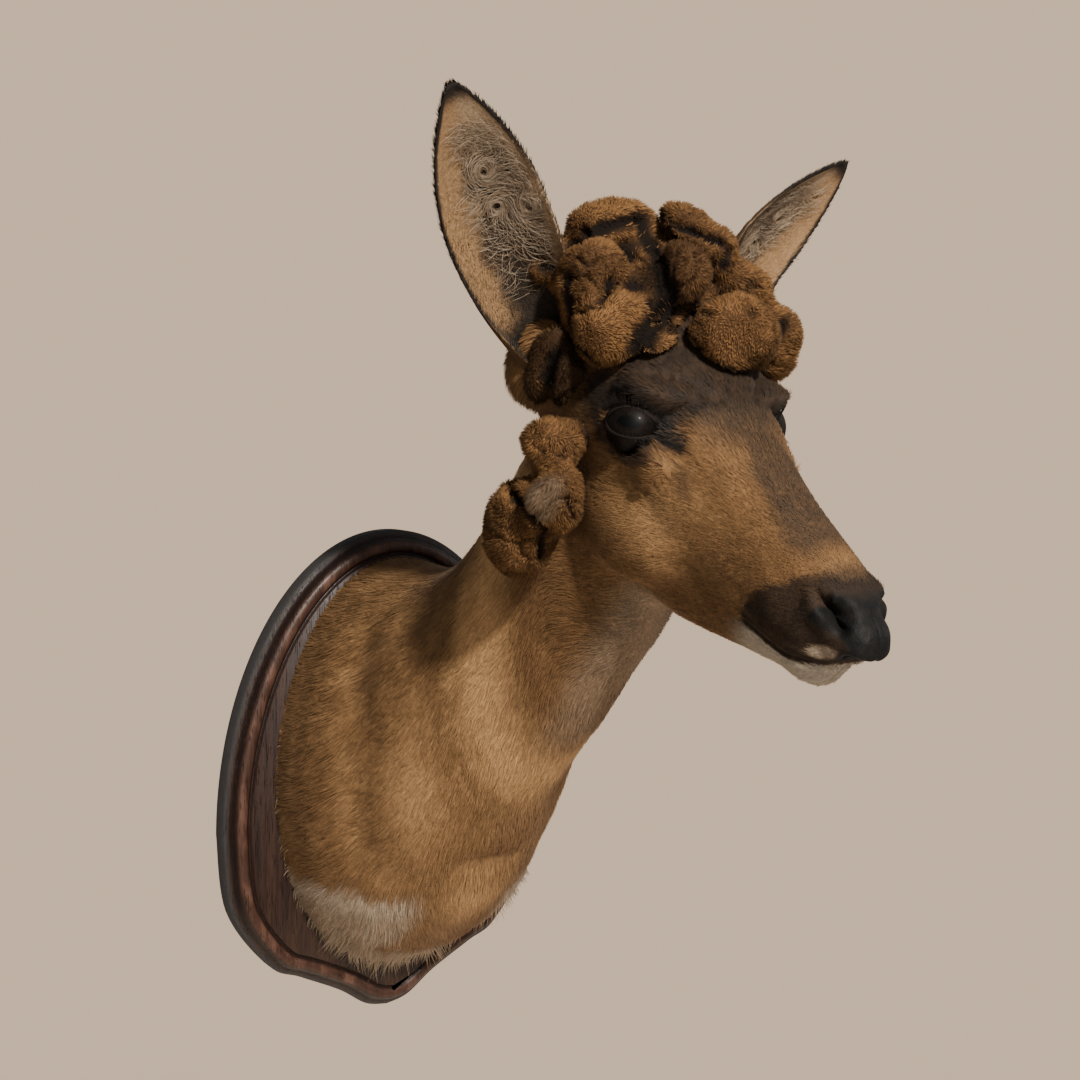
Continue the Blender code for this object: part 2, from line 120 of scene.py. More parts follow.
def noise(points: np.ndarray, size: float, seed: int) -> np.ndarray:
    """Return smooth value noise from -1 to 1.

    Args:
        points: World points, one a row.
        size: Distance between the noise's knots.
        seed: Which noise.

    Returns:
        One value a point.
    """
    grid = points / size
    cell = np.floor(grid).astype(np.int64)
    part = grid - cell
    part = part * part * (3 - 2 * part)
    total = np.zeros(len(points))
    for corner in range(8):
        step = np.array([(corner >> axis) & 1 for axis in range(3)])
        weight = np.prod(np.where(step == 1, part, 1 - part), axis=1)
        total += weight * hashed(cell + step, seed)
    return total


def layered(points: np.ndarray, size: float, seed: int, layers: int = 3) -> np.ndarray:
    """Return noise summed over halving sizes."""
    total = np.zeros(len(points))
    for layer in range(layers):
        total += noise(points, size / 2 ** layer, seed + layer) / 2 ** layer
    return total / (2 - 2 ** (1 - layers))


def ramp(value: np.ndarray, low: float, high: float) -> np.ndarray:
    """Return a smooth step from 0 at low to 1 at high; low may be the larger."""
    t = np.clip((value - low) / (high - low), 0.0, 1.0)
    return t * t * (3 - 2 * t)


def unit(vectors: np.ndarray) -> np.ndarray:
    """Return the vectors at length one."""
    return vectors / np.maximum(np.linalg.norm(vectors, axis=-1, keepdims=True), 1e-9)


def flatten(vectors: np.ndarray, normals: np.ndarray) -> np.ndarray:
    """Return the vectors laid into the surface, at length one."""
    return unit(vectors - normals * np.sum(vectors * normals, axis=-1, keepdims=True))


def swell(local: np.ndarray, centre: tuple, radii: tuple) -> np.ndarray:
    """Return a soft bump, 1 at a centre and at its mirror image, in head or world coordinates."""
    mirrored = np.abs(local[:, 0])
    gap = np.stack((mirrored - centre[0], local[:, 1] - centre[1], local[:, 2] - centre[2]), axis=1)
    return np.exp(-np.sum((gap / np.array(radii)) ** 2, axis=1))


def line_gap(local: np.ndarray, path: tuple) -> np.ndarray:
    """Return each point's distance from a line of straight runs."""
    best = np.full(len(local), np.inf)
    knots = np.array(path)
    for start, run in zip(knots, np.diff(knots, axis=0)):
        t = np.clip((local - start) @ run / (run @ run), 0, 1)
        best = np.minimum(best, np.linalg.norm(local - start - t[:, None] * run, axis=1))
    return best


def groove(local: np.ndarray, path: tuple, width: float) -> np.ndarray:
    """Return a soft groove along a line in the head frame and its mirror image, 1 in the middle."""
    mirrored = np.stack((np.abs(local[:, 0]), local[:, 1], local[:, 2]), axis=1)
    return np.exp(-(line_gap(mirrored, path) / width) ** 2)


# ------------------------------------------------------------------ mesh helpers
def new_piece(name: str, mesh: bpy.types.Mesh) -> bpy.types.Object:
    """Link a new object for a mesh and smooth its shading."""
    mesh.shade_smooth()
    piece = bpy.data.objects.new(name, mesh)
    bpy.context.scene.collection.objects.link(piece)
    return piece


def from_bmesh(name: str, bm: bmesh.types.BMesh) -> bpy.types.Object:
    """Turn a bmesh into a linked object."""
    mesh = bpy.data.meshes.new(name)
    bm.to_mesh(mesh)
    bm.free()
    return new_piece(name, mesh)


def coordinates(mesh: bpy.types.Mesh) -> np.ndarray:
    """Return a mesh's vertex places, one a row."""
    flat = np.empty(len(mesh.vertices) * 3)
    mesh.vertices.foreach_get("co", flat)
    return flat.reshape(-1, 3)


def set_coordinates(mesh: bpy.types.Mesh, points: np.ndarray) -> None:
    """Move a mesh's vertices."""
    mesh.vertices.foreach_set("co", points.astype(np.float32).ravel())
    mesh.update()


def vertex_normals(mesh: bpy.types.Mesh) -> np.ndarray:
    """Return a mesh's vertex normals, one a row."""
    flat = np.empty(len(mesh.vertices) * 3, np.float32)
    mesh.vertex_normals.foreach_get("vector", flat)
    return flat.reshape(-1, 3).astype(float)


def edge_pairs(mesh: bpy.types.Mesh) -> np.ndarray:
    """Return a mesh's edges as vertex pairs."""
    flat = np.empty(len(mesh.edges) * 2, np.int32)
    mesh.edges.foreach_get("vertices", flat)
    return flat.reshape(-1, 2)


def relax(values: np.ndarray, edges: np.ndarray, passes: int, weight: np.ndarray) -> np.ndarray:
    """Smooth a value or a place over a mesh's edges.

    Args:
        values: One row a vertex.
        edges: Vertex pairs.
        passes: How many times.
        weight: How strongly each vertex follows its neighbours, 0 to 1.

    Returns:
        The smoothed rows.
    """
    count = np.bincount(edges.ravel(), minlength=len(values)).astype(float)
    for _ in range(passes):
        total = np.zeros_like(values)
        for axis in range(values.shape[1]):
            total[:, axis] = (np.bincount(edges[:, 0], values[edges[:, 1], axis], len(values))
                              + np.bincount(edges[:, 1], values[edges[:, 0], axis], len(values)))
        values = values + weight[:, None] * (total / count[:, None] - values)
    return values


def store(mesh: bpy.types.Mesh, name: str, values: np.ndarray) -> None:
    """Keep one number a vertex on a mesh."""
    layer = mesh.attributes.new(name, "FLOAT", "POINT")
    layer.data.foreach_set("value", values.astype(np.float32))


def store_all(mesh: bpy.types.Mesh, masks: dict) -> None:
    """Keep several numbers a vertex on a mesh, by name."""
    for name, values in masks.items():
        store(mesh, name, values)


def bridge(bm: bmesh.types.BMesh, near: list, far: list) -> None:
    """Join two closed rings of vertices by a band of quads."""
    for i in range(len(near)):
        j = (i + 1) % len(near)
        bm.faces.new((near[i], near[j], far[j], far[i]))


def merged_nodes(names: list, push: float) -> bpy.types.Object:
    """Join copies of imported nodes, each pushed out until it meets its neighbours.

    Args:
        names: The nodes.
        push: Distance along the normals.

    Returns:
        The joined object.
    """
    bm = bmesh.new()
    for name in names:
        part = bmesh.new()
        part.from_mesh(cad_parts[name].data)
        bmesh.ops.remove_doubles(part, verts=part.verts, dist=1e-6)
        part.normal_update()
        moves = [(vertex, vertex.co + vertex.normal * push) for vertex in part.verts]
        for vertex, place in moves:
            vertex.co = place
        copy = bpy.data.meshes.new(name)
        part.to_mesh(copy)
        part.free()
        bm.from_mesh(copy)
        bpy.data.meshes.remove(copy)
    return from_bmesh("merged", bm)


def remeshed(item: bpy.types.Object, voxel: float) -> bpy.types.Object:
    """Rebuild an object as one even skin of quads."""
    remesh = item.modifiers.new("even", "REMESH")
    remesh.mode = "VOXEL"
    remesh.voxel_size = voxel
    depsgraph = bpy.context.evaluated_depsgraph_get()
    mesh = bpy.data.meshes.new_from_object(item.evaluated_get(depsgraph))
    old = item.data
    item.modifiers.clear()
    item.data = mesh
    bpy.data.meshes.remove(old)
    return item


# ------------------------------------------------------------------ shader maths
class Term:
    """A number in a shader that Python's operators can work on."""

    def __init__(self, bench: "Bench", socket: bpy.types.NodeSocket) -> None:
        """Wrap an output socket."""
        self.bench = bench
        self.socket = socket

    def _math(self, operation: str, *values: object, clamp: bool = False) -> "Term":
        """Add one Math node over the values."""
        node = self.bench.add("ShaderNodeMath", {"operation": operation, "use_clamp": clamp},
                              dict(enumerate(values)))
        return Term(self.bench, node.outputs[0])

    def __add__(self, other: object) -> "Term":
        """Add."""
        return self._math("ADD", self, other)

    __radd__ = __add__

    def __sub__(self, other: object) -> "Term":
        """Subtract."""
        return self._math("SUBTRACT", self, other)

    def __rsub__(self, other: object) -> "Term":
        """Subtract from a number."""
        return self._math("SUBTRACT", other, self)

    def __mul__(self, other: object) -> "Term":
        """Multiply."""
        return self._math("MULTIPLY", self, other)

    __rmul__ = __mul__

    def clamped(self) -> "Term":
        """Hold the number between 0 and 1."""
        return self._math("ADD", self, 0.0, clamp=True)

    def step(self, low: float, high: float) -> "Term":
        """Return a smooth step from 0 at low to 1 at high."""
        node = self.bench.add("ShaderNodeMapRange", {"interpolation_type": "SMOOTHSTEP"},
                              {"Value": self, "From Min": low, "From Max": high})
        return Term(self.bench, node.outputs[0])


class Bench:
    """A material under construction."""

    def __init__(self, name: str, roughness: float, sheen: float = 0.0, coat: float = 0.0) -> None:
        """Start a material with one Principled shader.

        Args:
            name: The material's name.
            roughness: Roughness over the whole surface.
            sheen: Weight of the soft fibre sheen.
            coat: Weight of the clear coat.
        """
        self.material = bpy.data.materials.new(name)
        self.material.use_nodes = True
        self.tree = self.material.node_tree
        self.shader = self.tree.nodes["Principled BSDF"]
        self.shader.inputs["Roughness"].default_value = roughness
        self.shader.inputs["Sheen Weight"].default_value = sheen
        self.shader.inputs["Sheen Roughness"].default_value = 0.5
        self.shader.inputs["Coat Weight"].default_value = coat
        self.shader.inputs["Coat Roughness"].default_value = 0.05

    def add(self, kind: str, settings: dict, sockets: dict) -> bpy.types.Node:
        """Add a node, set it up and link it.

        Args:
            kind: The node's type name.
            settings: Its properties, set first.
            sockets: Values or links by socket name or number.

        Returns:
            The node.
        """
        node = self.tree.nodes.new(kind)
        for key, value in settings.items():
            setattr(node, key, value)
        for key, value in sockets.items():
            self.feed(node.inputs[key], value)
        return node

    def feed(self, target: bpy.types.NodeSocket, value: object) -> None:
        """Link a term or a socket to an input, or set its value."""
        if isinstance(value, Term):
            value = value.socket
        if isinstance(value, bpy.types.NodeSocket):
            self.tree.links.new(value, target)
        else:
            target.default_value = value

    def attribute(self, name: str) -> Term:
        """Read one number that the mesh keeps."""
        node = self.add("ShaderNodeAttribute", {"attribute_name": name}, {})
        return Term(self, node.outputs["Fac"])

    def stretched(self, scale: tuple) -> bpy.types.NodeSocket:
        """Return object coordinates scaled by axis."""
        place = self.add("ShaderNodeTexCoord", {}, {}).outputs["Object"]
        return self.add("ShaderNodeMapping", {}, {"Vector": place, "Scale": scale}).outputs[0]

    def cloud(self, size: float, detail: float = 3.0, scale: tuple = (1.0, 1.0, 1.0)) -> Term:
        """Return noise with features of about a size, in metres."""
        node = self.add("ShaderNodeTexNoise", {},
                        {"Vector": self.stretched(scale), "Scale": 1.0 / size, "Detail": detail})
        return Term(self, node.outputs[0])

    def cells(self, size: float) -> Term:
        """Return the distance to the nearest of scattered points a size apart."""
        node = self.add("ShaderNodeTexVoronoi", {},
                        {"Vector": self.stretched((1.0, 1.0, 1.0)), "Scale": 1.0 / size})
        return Term(self, node.outputs["Distance"])

    def blend(self, amount: object, low: object, high: object) -> bpy.types.NodeSocket:
        """Mix two colours."""
        colours = [c if isinstance(c, bpy.types.NodeSocket) else (*c, 1.0) for c in (low, high)]
        node = self.add("ShaderNodeMix", {"data_type": "RGBA"},
                        {0: amount, MIX_LOW: colours[0], MIX_HIGH: colours[1]})
        return node.outputs[MIX_RESULT]

    def colour(self, value: object) -> "Bench":
        """Set the base colour."""
        self.feed(self.shader.inputs["Base Color"], value)
        return self

    def rough(self, value: Term) -> "Bench":
        """Set a roughness that changes over the surface."""
        self.feed(self.shader.inputs["Roughness"], value)
        return self

    def bump(self, height: Term, depth: float) -> "Bench":
        """Raise the surface by a height of a given depth."""
        node = self.add("ShaderNodeBump", {}, {"Height": height, "Distance": depth, "Strength": 1.0})
        self.feed(self.shader.inputs["Normal"], node.outputs[0])
        return self


# ------------------------------------------------------------------ finishes
@dataclass(frozen=True)
class CoatColours:
    """Colours of the hair, linear."""

    rufous: tuple = (0.200, 0.104, 0.043)
    # bright: lighter hair, and also painted light on the neck and along the shoulder's fold
    bright: tuple = (0.58, 0.335, 0.148)
    shade: tuple = (0.062, 0.032, 0.0135)
    dark: tuple = (0.0120, 0.0092, 0.0078)
    pale: tuple = (0.52, 0.44, 0.335)
    grey: tuple = (0.034, 0.0225, 0.0145)

    def mixed(self, bench: Bench) -> bpy.types.NodeSocket:
        """Return the coat's colour from the markings that a mesh keeps."""
        tone = bench.attribute("tone")
        colour = bench.blend(tone, self.shade, self.rufous)
        colour = bench.blend(bench.attribute("bright") * (tone * 0.6 + 0.4), colour, self.bright)
        colour = bench.blend(bench.attribute("grey") * (1.12 - tone * 0.42), colour, self.grey)
        colour = bench.blend(bench.attribute("pale") * (tone * 0.3 + 0.7), colour, self.pale)
        return bench.blend(bench.attribute("dark"), colour, self.dark)


@dataclass(frozen=True)
class CoatFinish:
    """Hair: matt, with a little sheen along it."""

    colours: CoatColours = CoatColours()

    def material(self) -> bpy.types.Material:
        """Return the hair's material."""
        bench = Bench("coat_hair", 0.65, sheen=0.015)
        bench.shader.inputs["Specular IOR Level"].default_value = 0.10
        streak = bench.cloud(0.0016, 2.0)
        base = self.colours.mixed(bench)
        bench.colour(bench.blend(streak.step(0.35, 0.75) * 0.25, base, self.colours.dark))
        return bench.material


@dataclass(frozen=True)
class SkinFinish:
    """The skin under the coat, and bare where the nose, lips and lids are."""

    colours: CoatColours = CoatColours()
    bare: tuple = (0.0036, 0.0034, 0.0034)
    crust: tuple = (0.0062, 0.0052, 0.0047)

    def material(self) -> bpy.types.Material:
        """Return the skin's material."""
        bench = Bench("skin", 0.8)
        bench.shader.inputs["Specular IOR Level"].default_value = 0.10
        bare = bench.attribute("bare")
        fur = bench.blend(bench.cloud(0.0012, 3.0).step(0.35, 0.7) * 0.35, self.colours.mixed(bench),
                          self.colours.dark)
        mottle = bench.blend(bench.cloud(0.004, 4.0).step(0.4, 0.65), self.bare, self.crust)
        bench.colour(bench.blend(bare, fur, mottle))
        bench.rough(0.85 - bare * 0.26 + bench.cloud(0.003).step(0.3, 0.7) * 0.08)
        pebbles = bench.cells(0.0012)
        bench.bump(pebbles * bare * 0.20 + bench.cloud(0.0008, 4.0) * (1.0 - bare) * 0.6, 0.0006)
        return bench.material


@dataclass(frozen=True)
class VelvetFinish:
    """Plush velvet: rufous brown tips over a near black root."""

    tip: tuple = (0.178, 0.089, 0.0335)
    body: tuple = (0.027, 0.0140, 0.0072)
    # colour of the crusty furrows, and of painted shade in the hollows and creases, near the skin and
    # over the temple's cluster
    crust_and_shade: tuple = (0.0060, 0.0043, 0.0034)
    grizzle: tuple = (0.098, 0.070, 0.047)

    def material(self, name: str, floor: bool) -> bpy.types.Material:
        """Return the velvet's material.

        Args:
            name: The material's name.
            floor: True for the flesh under the plush, which has bump.

        Returns:
            The material.
        """
        bench = Bench(name, 0.85, sheen=0.0 if floor else 0.04)
        bench.shader.inputs["Sheen Tint"].default_value = (1.0, 0.62, 0.32, 1.0)
        bench.shader.inputs["Specular IOR Level"].default_value = 0.05
        tone = bench.attribute("tone")
        colour = bench.blend(tone, self.body, self.tip)
        colour = bench.blend(bench.attribute("grizzle") * (tone * 0.6 + 0.4), colour, self.grizzle)
        # the crust in the furrows and the painted shade in the recesses darken the velvet
        crust_and_shade = bench.attribute("crust_and_shade")
        bench.colour(bench.blend(crust_and_shade, colour, self.crust_and_shade))
        if floor:
            bench.bump(bench.cloud(0.002, 4.0), 0.0012)
        return bench.material


@dataclass(frozen=True)
class EyeFinish:
    """Glass eye: brown-black iris with a long level pupil under a clear cornea."""

    iris: tuple = (0.0075, 0.0048, 0.0034)
    rim: tuple = (0.0026, 0.0020, 0.0017)
    pupil: tuple = (0.001, 0.001, 0.0012)

    def material(self) -> bpy.types.Material:
        """Return the eye's material."""
        bench = Bench("eye_glass", 0.50, coat=0.012)
        bench.shader.inputs["Coat Roughness"].default_value = 0.14
        bench.shader.inputs["Specular IOR Level"].default_value = 0.06
        fibres = bench.cloud(0.0009, 3.0)
        iris = bench.blend(fibres.step(0.3, 0.7), self.rim, self.iris)
        iris = bench.blend(bench.attribute("iris"), self.rim, iris)
        bench.colour(bench.blend(bench.attribute("pupil"), iris, self.pupil))
        return bench.material


@dataclass(frozen=True)
class WoodFinish:
    """Dark red-brown stain with upright grain under satin varnish."""

    light: tuple = (0.028, 0.0112, 0.0060)
    dark: tuple = (0.0075, 0.0030, 0.0020)
    worn: tuple = (0.024, 0.0225, 0.0220)
    bead: tuple = (0.090, 0.0430, 0.0290)

    def material(self) -> bpy.types.Material:
        """Return the board's material."""
        bench = Bench("board_wood", 0.42, coat=0.03)
        bench.shader.inputs["Specular IOR Level"].default_value = 0.20
        bench.shader.inputs["Coat Roughness"].default_value = 0.25
        fibre = bench.cloud(0.0016, 5.0, (1.0, 1.0, 0.03))
        figure = bench.cloud(0.012, 3.0, (1.0, 1.0, 0.12))
        pores = bench.cloud(0.0007, 2.0, (1.0, 1.0, 0.06)).step(0.58, 0.70)
        colour = bench.blend((fibre * 0.55 + figure * 0.6).step(0.38, 0.78), self.dark, self.light)
        worn = bench.cloud(0.009, 4.0, (1.0, 1.0, 0.35)).step(0.46, 0.66)
        colour = bench.blend(bench.attribute("bead") * (worn * 0.55 + 0.22), colour, self.bead)
        colour = bench.blend(pores * 0.8, colour, self.dark)
        scuff = bench.cloud(0.006, 5.0)
        edge = bench.attribute("edge")
        colour = bench.blend(edge * (0.62 + scuff * 0.5).clamped(), colour, self.worn)
        # painted shade in the moulding's cove and groove
        colour = bench.blend(bench.attribute("recess_shade") * 0.85, colour, self.dark)
        bench.colour(colour)
        bench.rough(0.36 + fibre * 0.16 + scuff.step(0.45, 0.75) * 0.14 + edge * 0.15)
        bench.bump(fibre * 0.5 + pores * -0.5 + scuff * 0.15, 0.0005)
        return bench.material


# ------------------------------------------------------------------ markings
class Markings:
    """Where the coat turns dark, pale, bright or grey, shared by skin and hair; the bright mask also
    holds painted light.
    """

    NAMES = ("dark", "pale", "bright", "grey", "bare")

    def __init__(self, points: np.ndarray) -> None:
        """Find world points on the head, with the waver that roughens every edge."""
        self.points = points
        self.local = local = HEAD.local(points)
        self.side, self.ahead, self.up = np.abs(local[:, 0]), local[:, 1], local[:, 2]
        self.wave = layered(points, 0.011, 11)
        self.fine = layered(points, 0.0035, 17)
        self.ragged_ahead = self.ahead + self.wave * 0.004
        self.ragged_up = self.up + self.wave * 0.003 + self.fine * 0.0015
        self.over_mouth = self.up - self.mouth_line(self.ahead)
        self.on_head = ramp(HEAD.reach(local), -0.118, -0.085)
        self.eye = swell(local, (0.0445, 0.0020, 0.0042), (0.030, 0.0215, 0.0128))
        self.tear = swell(local, (0.036, 0.0205, 0.0060), (0.016, 0.0130, 0.0070))
        self.lid_fold = groove(local, ((0.0400, -0.0100, 0.0180), (0.0385, 0.0020, 0.0188),
                                       (0.0320, 0.0140, 0.0175)), 0.0050)

    @staticmethod
    def face(points: np.ndarray) -> dict:
        """Return the masks of the head, neck and shoulders at world points."""
        marks = Markings(points)
        masks = (marks.dark(), marks.pale(), marks.bright(), marks.grey(), marks.bare())
        return {name: np.clip(mask, 0, 1) for name, mask in zip(Markings.NAMES, masks)}

    def dark(self) -> np.ndarray:
        """Return the dark markings, which the lid fold and the lip's pale spot break."""
        dark = np.maximum(self.eye_surround(), self.brow_and_nose())
        dark = dark * (1 - ramp(self.lid_fold + self.fine * 0.25, 0.35, 0.80) * 0.26)
        dark = dark * (1 - self.lip_spot() * 0.9)
        inner_lip = ramp(self.over_mouth, 0.0, -0.0010) * ramp(self.ahead, 0.1335, 0.1385) * 0.95
        return np.maximum.reduce((dark, inner_lip, self.chin() * 0.30)) * self.on_head

    def eye_surround(self) -> np.ndarray:
        """Return the dark round the eye, its tear gland and the patches below and behind."""
        local = self.local
        socket = swell(local, (0.0420, 0.0010, 0.0125), (0.030, 0.0265, 0.0125))
        behind = swell(local, (0.0470, -0.0230, 0.0020), (0.022, 0.0165, 0.0180))
        patch = groove(local, ((0.0325, 0.0335, -0.0025), (0.0313, 0.0405, -0.0092)), 0.0042)
        smudge = groove(local, ((0.0400, 0.0170, -0.0130), (0.0360, 0.0300, -0.0195),
                                (0.0325, 0.0410, -0.0270)), 0.0060)
        below = groove(local, ((0.0450, -0.0120, -0.0100), (0.0430, 0.0040, -0.0105),
                               (0.0389, 0.0190, -0.0055)), 0.0080)
        # each form with its edge's raggedness, where it starts, where it is full, and its strength
        forms = ((self.eye, 0.16, 0.26, 0.56, 1.0), (socket, 0.16, 0.34, 0.66, 0.94),
                 (self.tear, 0.2, 0.30, 0.62, 1.0), (behind, 0.25, 0.25, 0.75, 0.92),
                 (patch, 0.5, 0.25, 0.95, 0.55), (smudge, 0.4, 0.25, 1.0, 0.34),
                 (below, 0.3, 0.25, 0.8, 0.80))
        return np.maximum.reduce([ramp(form + self.fine * ragged, low, high) * strength
                                  for form, ragged, low, high, strength in forms])

    def brow_and_nose(self) -> np.ndarray:
        """Return the dark brow, lips, nose pad and nose tip."""
        ahead, up, fine = self.ragged_ahead, self.ragged_up, self.fine
        brow = ramp(up, 0.0130, 0.0175) * ramp(ahead, 0.0245, 0.0150)
        lip = ramp(ahead - 0.62 * np.maximum(self.up + 0.031, 0.0), 0.0855, 0.0895)
        lip = lip * ramp(up, 0.0015, -0.0025) * ramp(self.over_mouth, -0.0022, -0.0010)
        tip = ramp(ahead, 0.107, 0.115) * ramp(up, 0.0060, 0.0010)
        tip = tip * ramp(self.over_mouth, -0.0010, 0.0004) * 0.88
        return np.maximum.reduce((brow * (0.88 + 0.12 * fine), lip * (0.82 + 0.10 * fine),
                                  self.pad(self.local), tip))

    def lip_spot(self) -> np.ndarray:
        """Return the pale spot that leans across the upper lip."""
        ahead, up = self.ahead - 0.1290, self.up + 0.0240
        across, along = ahead * 0.55 - up * 0.84, ahead * 0.84 + up * 0.55
        spot = np.exp(-(across / 0.0034) ** 2 - (along / 0.0075) ** 2
                      - ((self.side - 0.0135) / 0.006) ** 2)
        return ramp(spot + self.fine * 0.14, 0.22, 0.72)

    def chin(self) -> np.ndarray:
        """Return the pale chin under the mouth's line."""
        chin = ramp(self.over_mouth + self.fine * 0.0008, -0.0008, -0.0018)
        return chin * ramp(self.ragged_ahead, 0.080, 0.100) * ramp(self.ahead, 0.1385, 0.1335)

    def pale(self) -> np.ndarray:
        """Return the pale chin and throat, and the long pale hair under the shoulders."""
        chin = np.maximum(self.chin(), self.lip_spot() * (0.46 + 0.16 * self.fine))
        throat = ramp(-self.ragged_up, 0.066, 0.078) * ramp(self.ahead, -0.01, 0.03)
        throat = throat * ramp(self.side, 0.026, 0.012) * 0.25
        x, y, z = self.points.T
        flank = ramp(z + self.wave * 0.008, -0.042, -0.052) * ramp(np.abs(x), 0.024, 0.038)
        keel = ramp(z + self.wave * 0.008, -0.088, -0.098) * ramp(y, -0.085, -0.070)
        under = np.maximum(flank, keel) * ramp(y + self.wave * 0.006, -0.112, -0.098)
        # less pale below the upper edge: painted shade on the underside, which faces down
        under = under * (0.62 + 0.38 * ramp(z + self.wave * 0.010, -0.066, -0.050))
        under = under * (0.54 + 0.15 * self.fine)
        return np.maximum.reduce((chin * self.on_head, throat * self.on_head, under))

    def bright(self) -> np.ndarray:
        """Return the bright snout and cheek, the bright lobe on the chest, and painted light on the neck
        and along the shoulder's fold.
        """
        snout = swell(self.local, (0.0, 0.1110, 0.0060), (0.0190, 0.0080, 0.0080))
        cheek = swell(self.local, (0.034, 0.030, -0.030), (0.03, 0.030, 0.022)) * 0.35
        whorl = swell(self.points, (0.0, -0.112, -0.054), (0.024, 0.024, 0.024))
        # band: painted light on the lit side of the shoulder's fold
        band = swell(self.points, (0.055, -0.130, 0.015), (0.03, 0.022, 0.05))
        body = 1 - self.on_head
        # painted light on the neck, standing in for the light that falls there
        painted_neck_light = body * ramp(self.points[:, 1] + self.wave * 0.01, -0.145, -0.180)
        mottle = (0.05 + 0.22 * ramp(self.wave, -0.4, 0.8)) * body
        return np.maximum.reduce((ramp(snout, 0.3, 0.7) * 0.06, cheek * 0.8, whorl * 0.8,
                                  band * 0.5, mottle, painted_neck_light))

    def grey(self) -> np.ndarray:
        """Return the grey-brown nose bridge, lid fold and forehead."""
        ahead, up = self.ragged_ahead, self.ragged_up
        width = 0.0105 + 0.006 * ramp(self.ahead, 0.03, 0.09) + self.wave * 0.0022
        bridge_line = ramp(np.abs(self.local[:, 0] - 0.0015), width + 0.0030, width - 0.0030)
        bridge_line = bridge_line * ramp(ahead, 0.1060, 0.0960) * ramp(ahead, 0.022, 0.032)
        bridge_line = bridge_line * ramp(self.up, -0.006, 0.0)
        forehead = ramp(up, 0.010, 0.020) * ramp(ahead, 0.062, 0.030) * ramp(ahead, 0.012, 0.020)
        above_pad = ramp(ahead, 0.1030, 0.1130) * ramp(up, -0.0030, 0.0010) * 0.55
        return np.maximum.reduce((bridge_line * (0.90 + 0.10 * self.fine), self.lid_fold * 0.9,
                                  forehead, above_pad)) * self.on_head

    def bare(self) -> np.ndarray:
        """Return the bare nose pad, and the hairless skin round the eye."""
        round_eye = ramp(np.maximum(self.eye, self.tear), 0.70, 0.88)
        return np.maximum(self.pad(self.local), round_eye) * self.on_head

    @staticmethod
    def mouth_line(ahead: np.ndarray) -> np.ndarray:
        """Return the height of the mouth's line at places along the head."""
        curve = -0.0405 + 0.10 * (ahead - 0.08) + 21.0 * np.maximum(ahead - 0.112, 0.0) ** 2
        return np.minimum(curve, -0.0212)

    @staticmethod
    def pad(local: np.ndarray) -> np.ndarray:
        """Return where the bare nose pad lies, in head coordinates."""
        side, ahead, up = np.abs(local[:, 0]), local[:, 1], local[:, 2]
        front = ramp(ahead, 0.1185, 0.1215) * ramp(up, 0.0022, -0.0008) * ramp(up, -0.0160, -0.0120)
        strip = ramp(side, 0.0135, 0.0105) * ramp(ahead, 0.1210, 0.1250) * ramp(up, 0.0022, -0.0008)
        return np.maximum(front, strip * ramp(up - Markings.mouth_line(ahead), -0.0005, 0.0010))


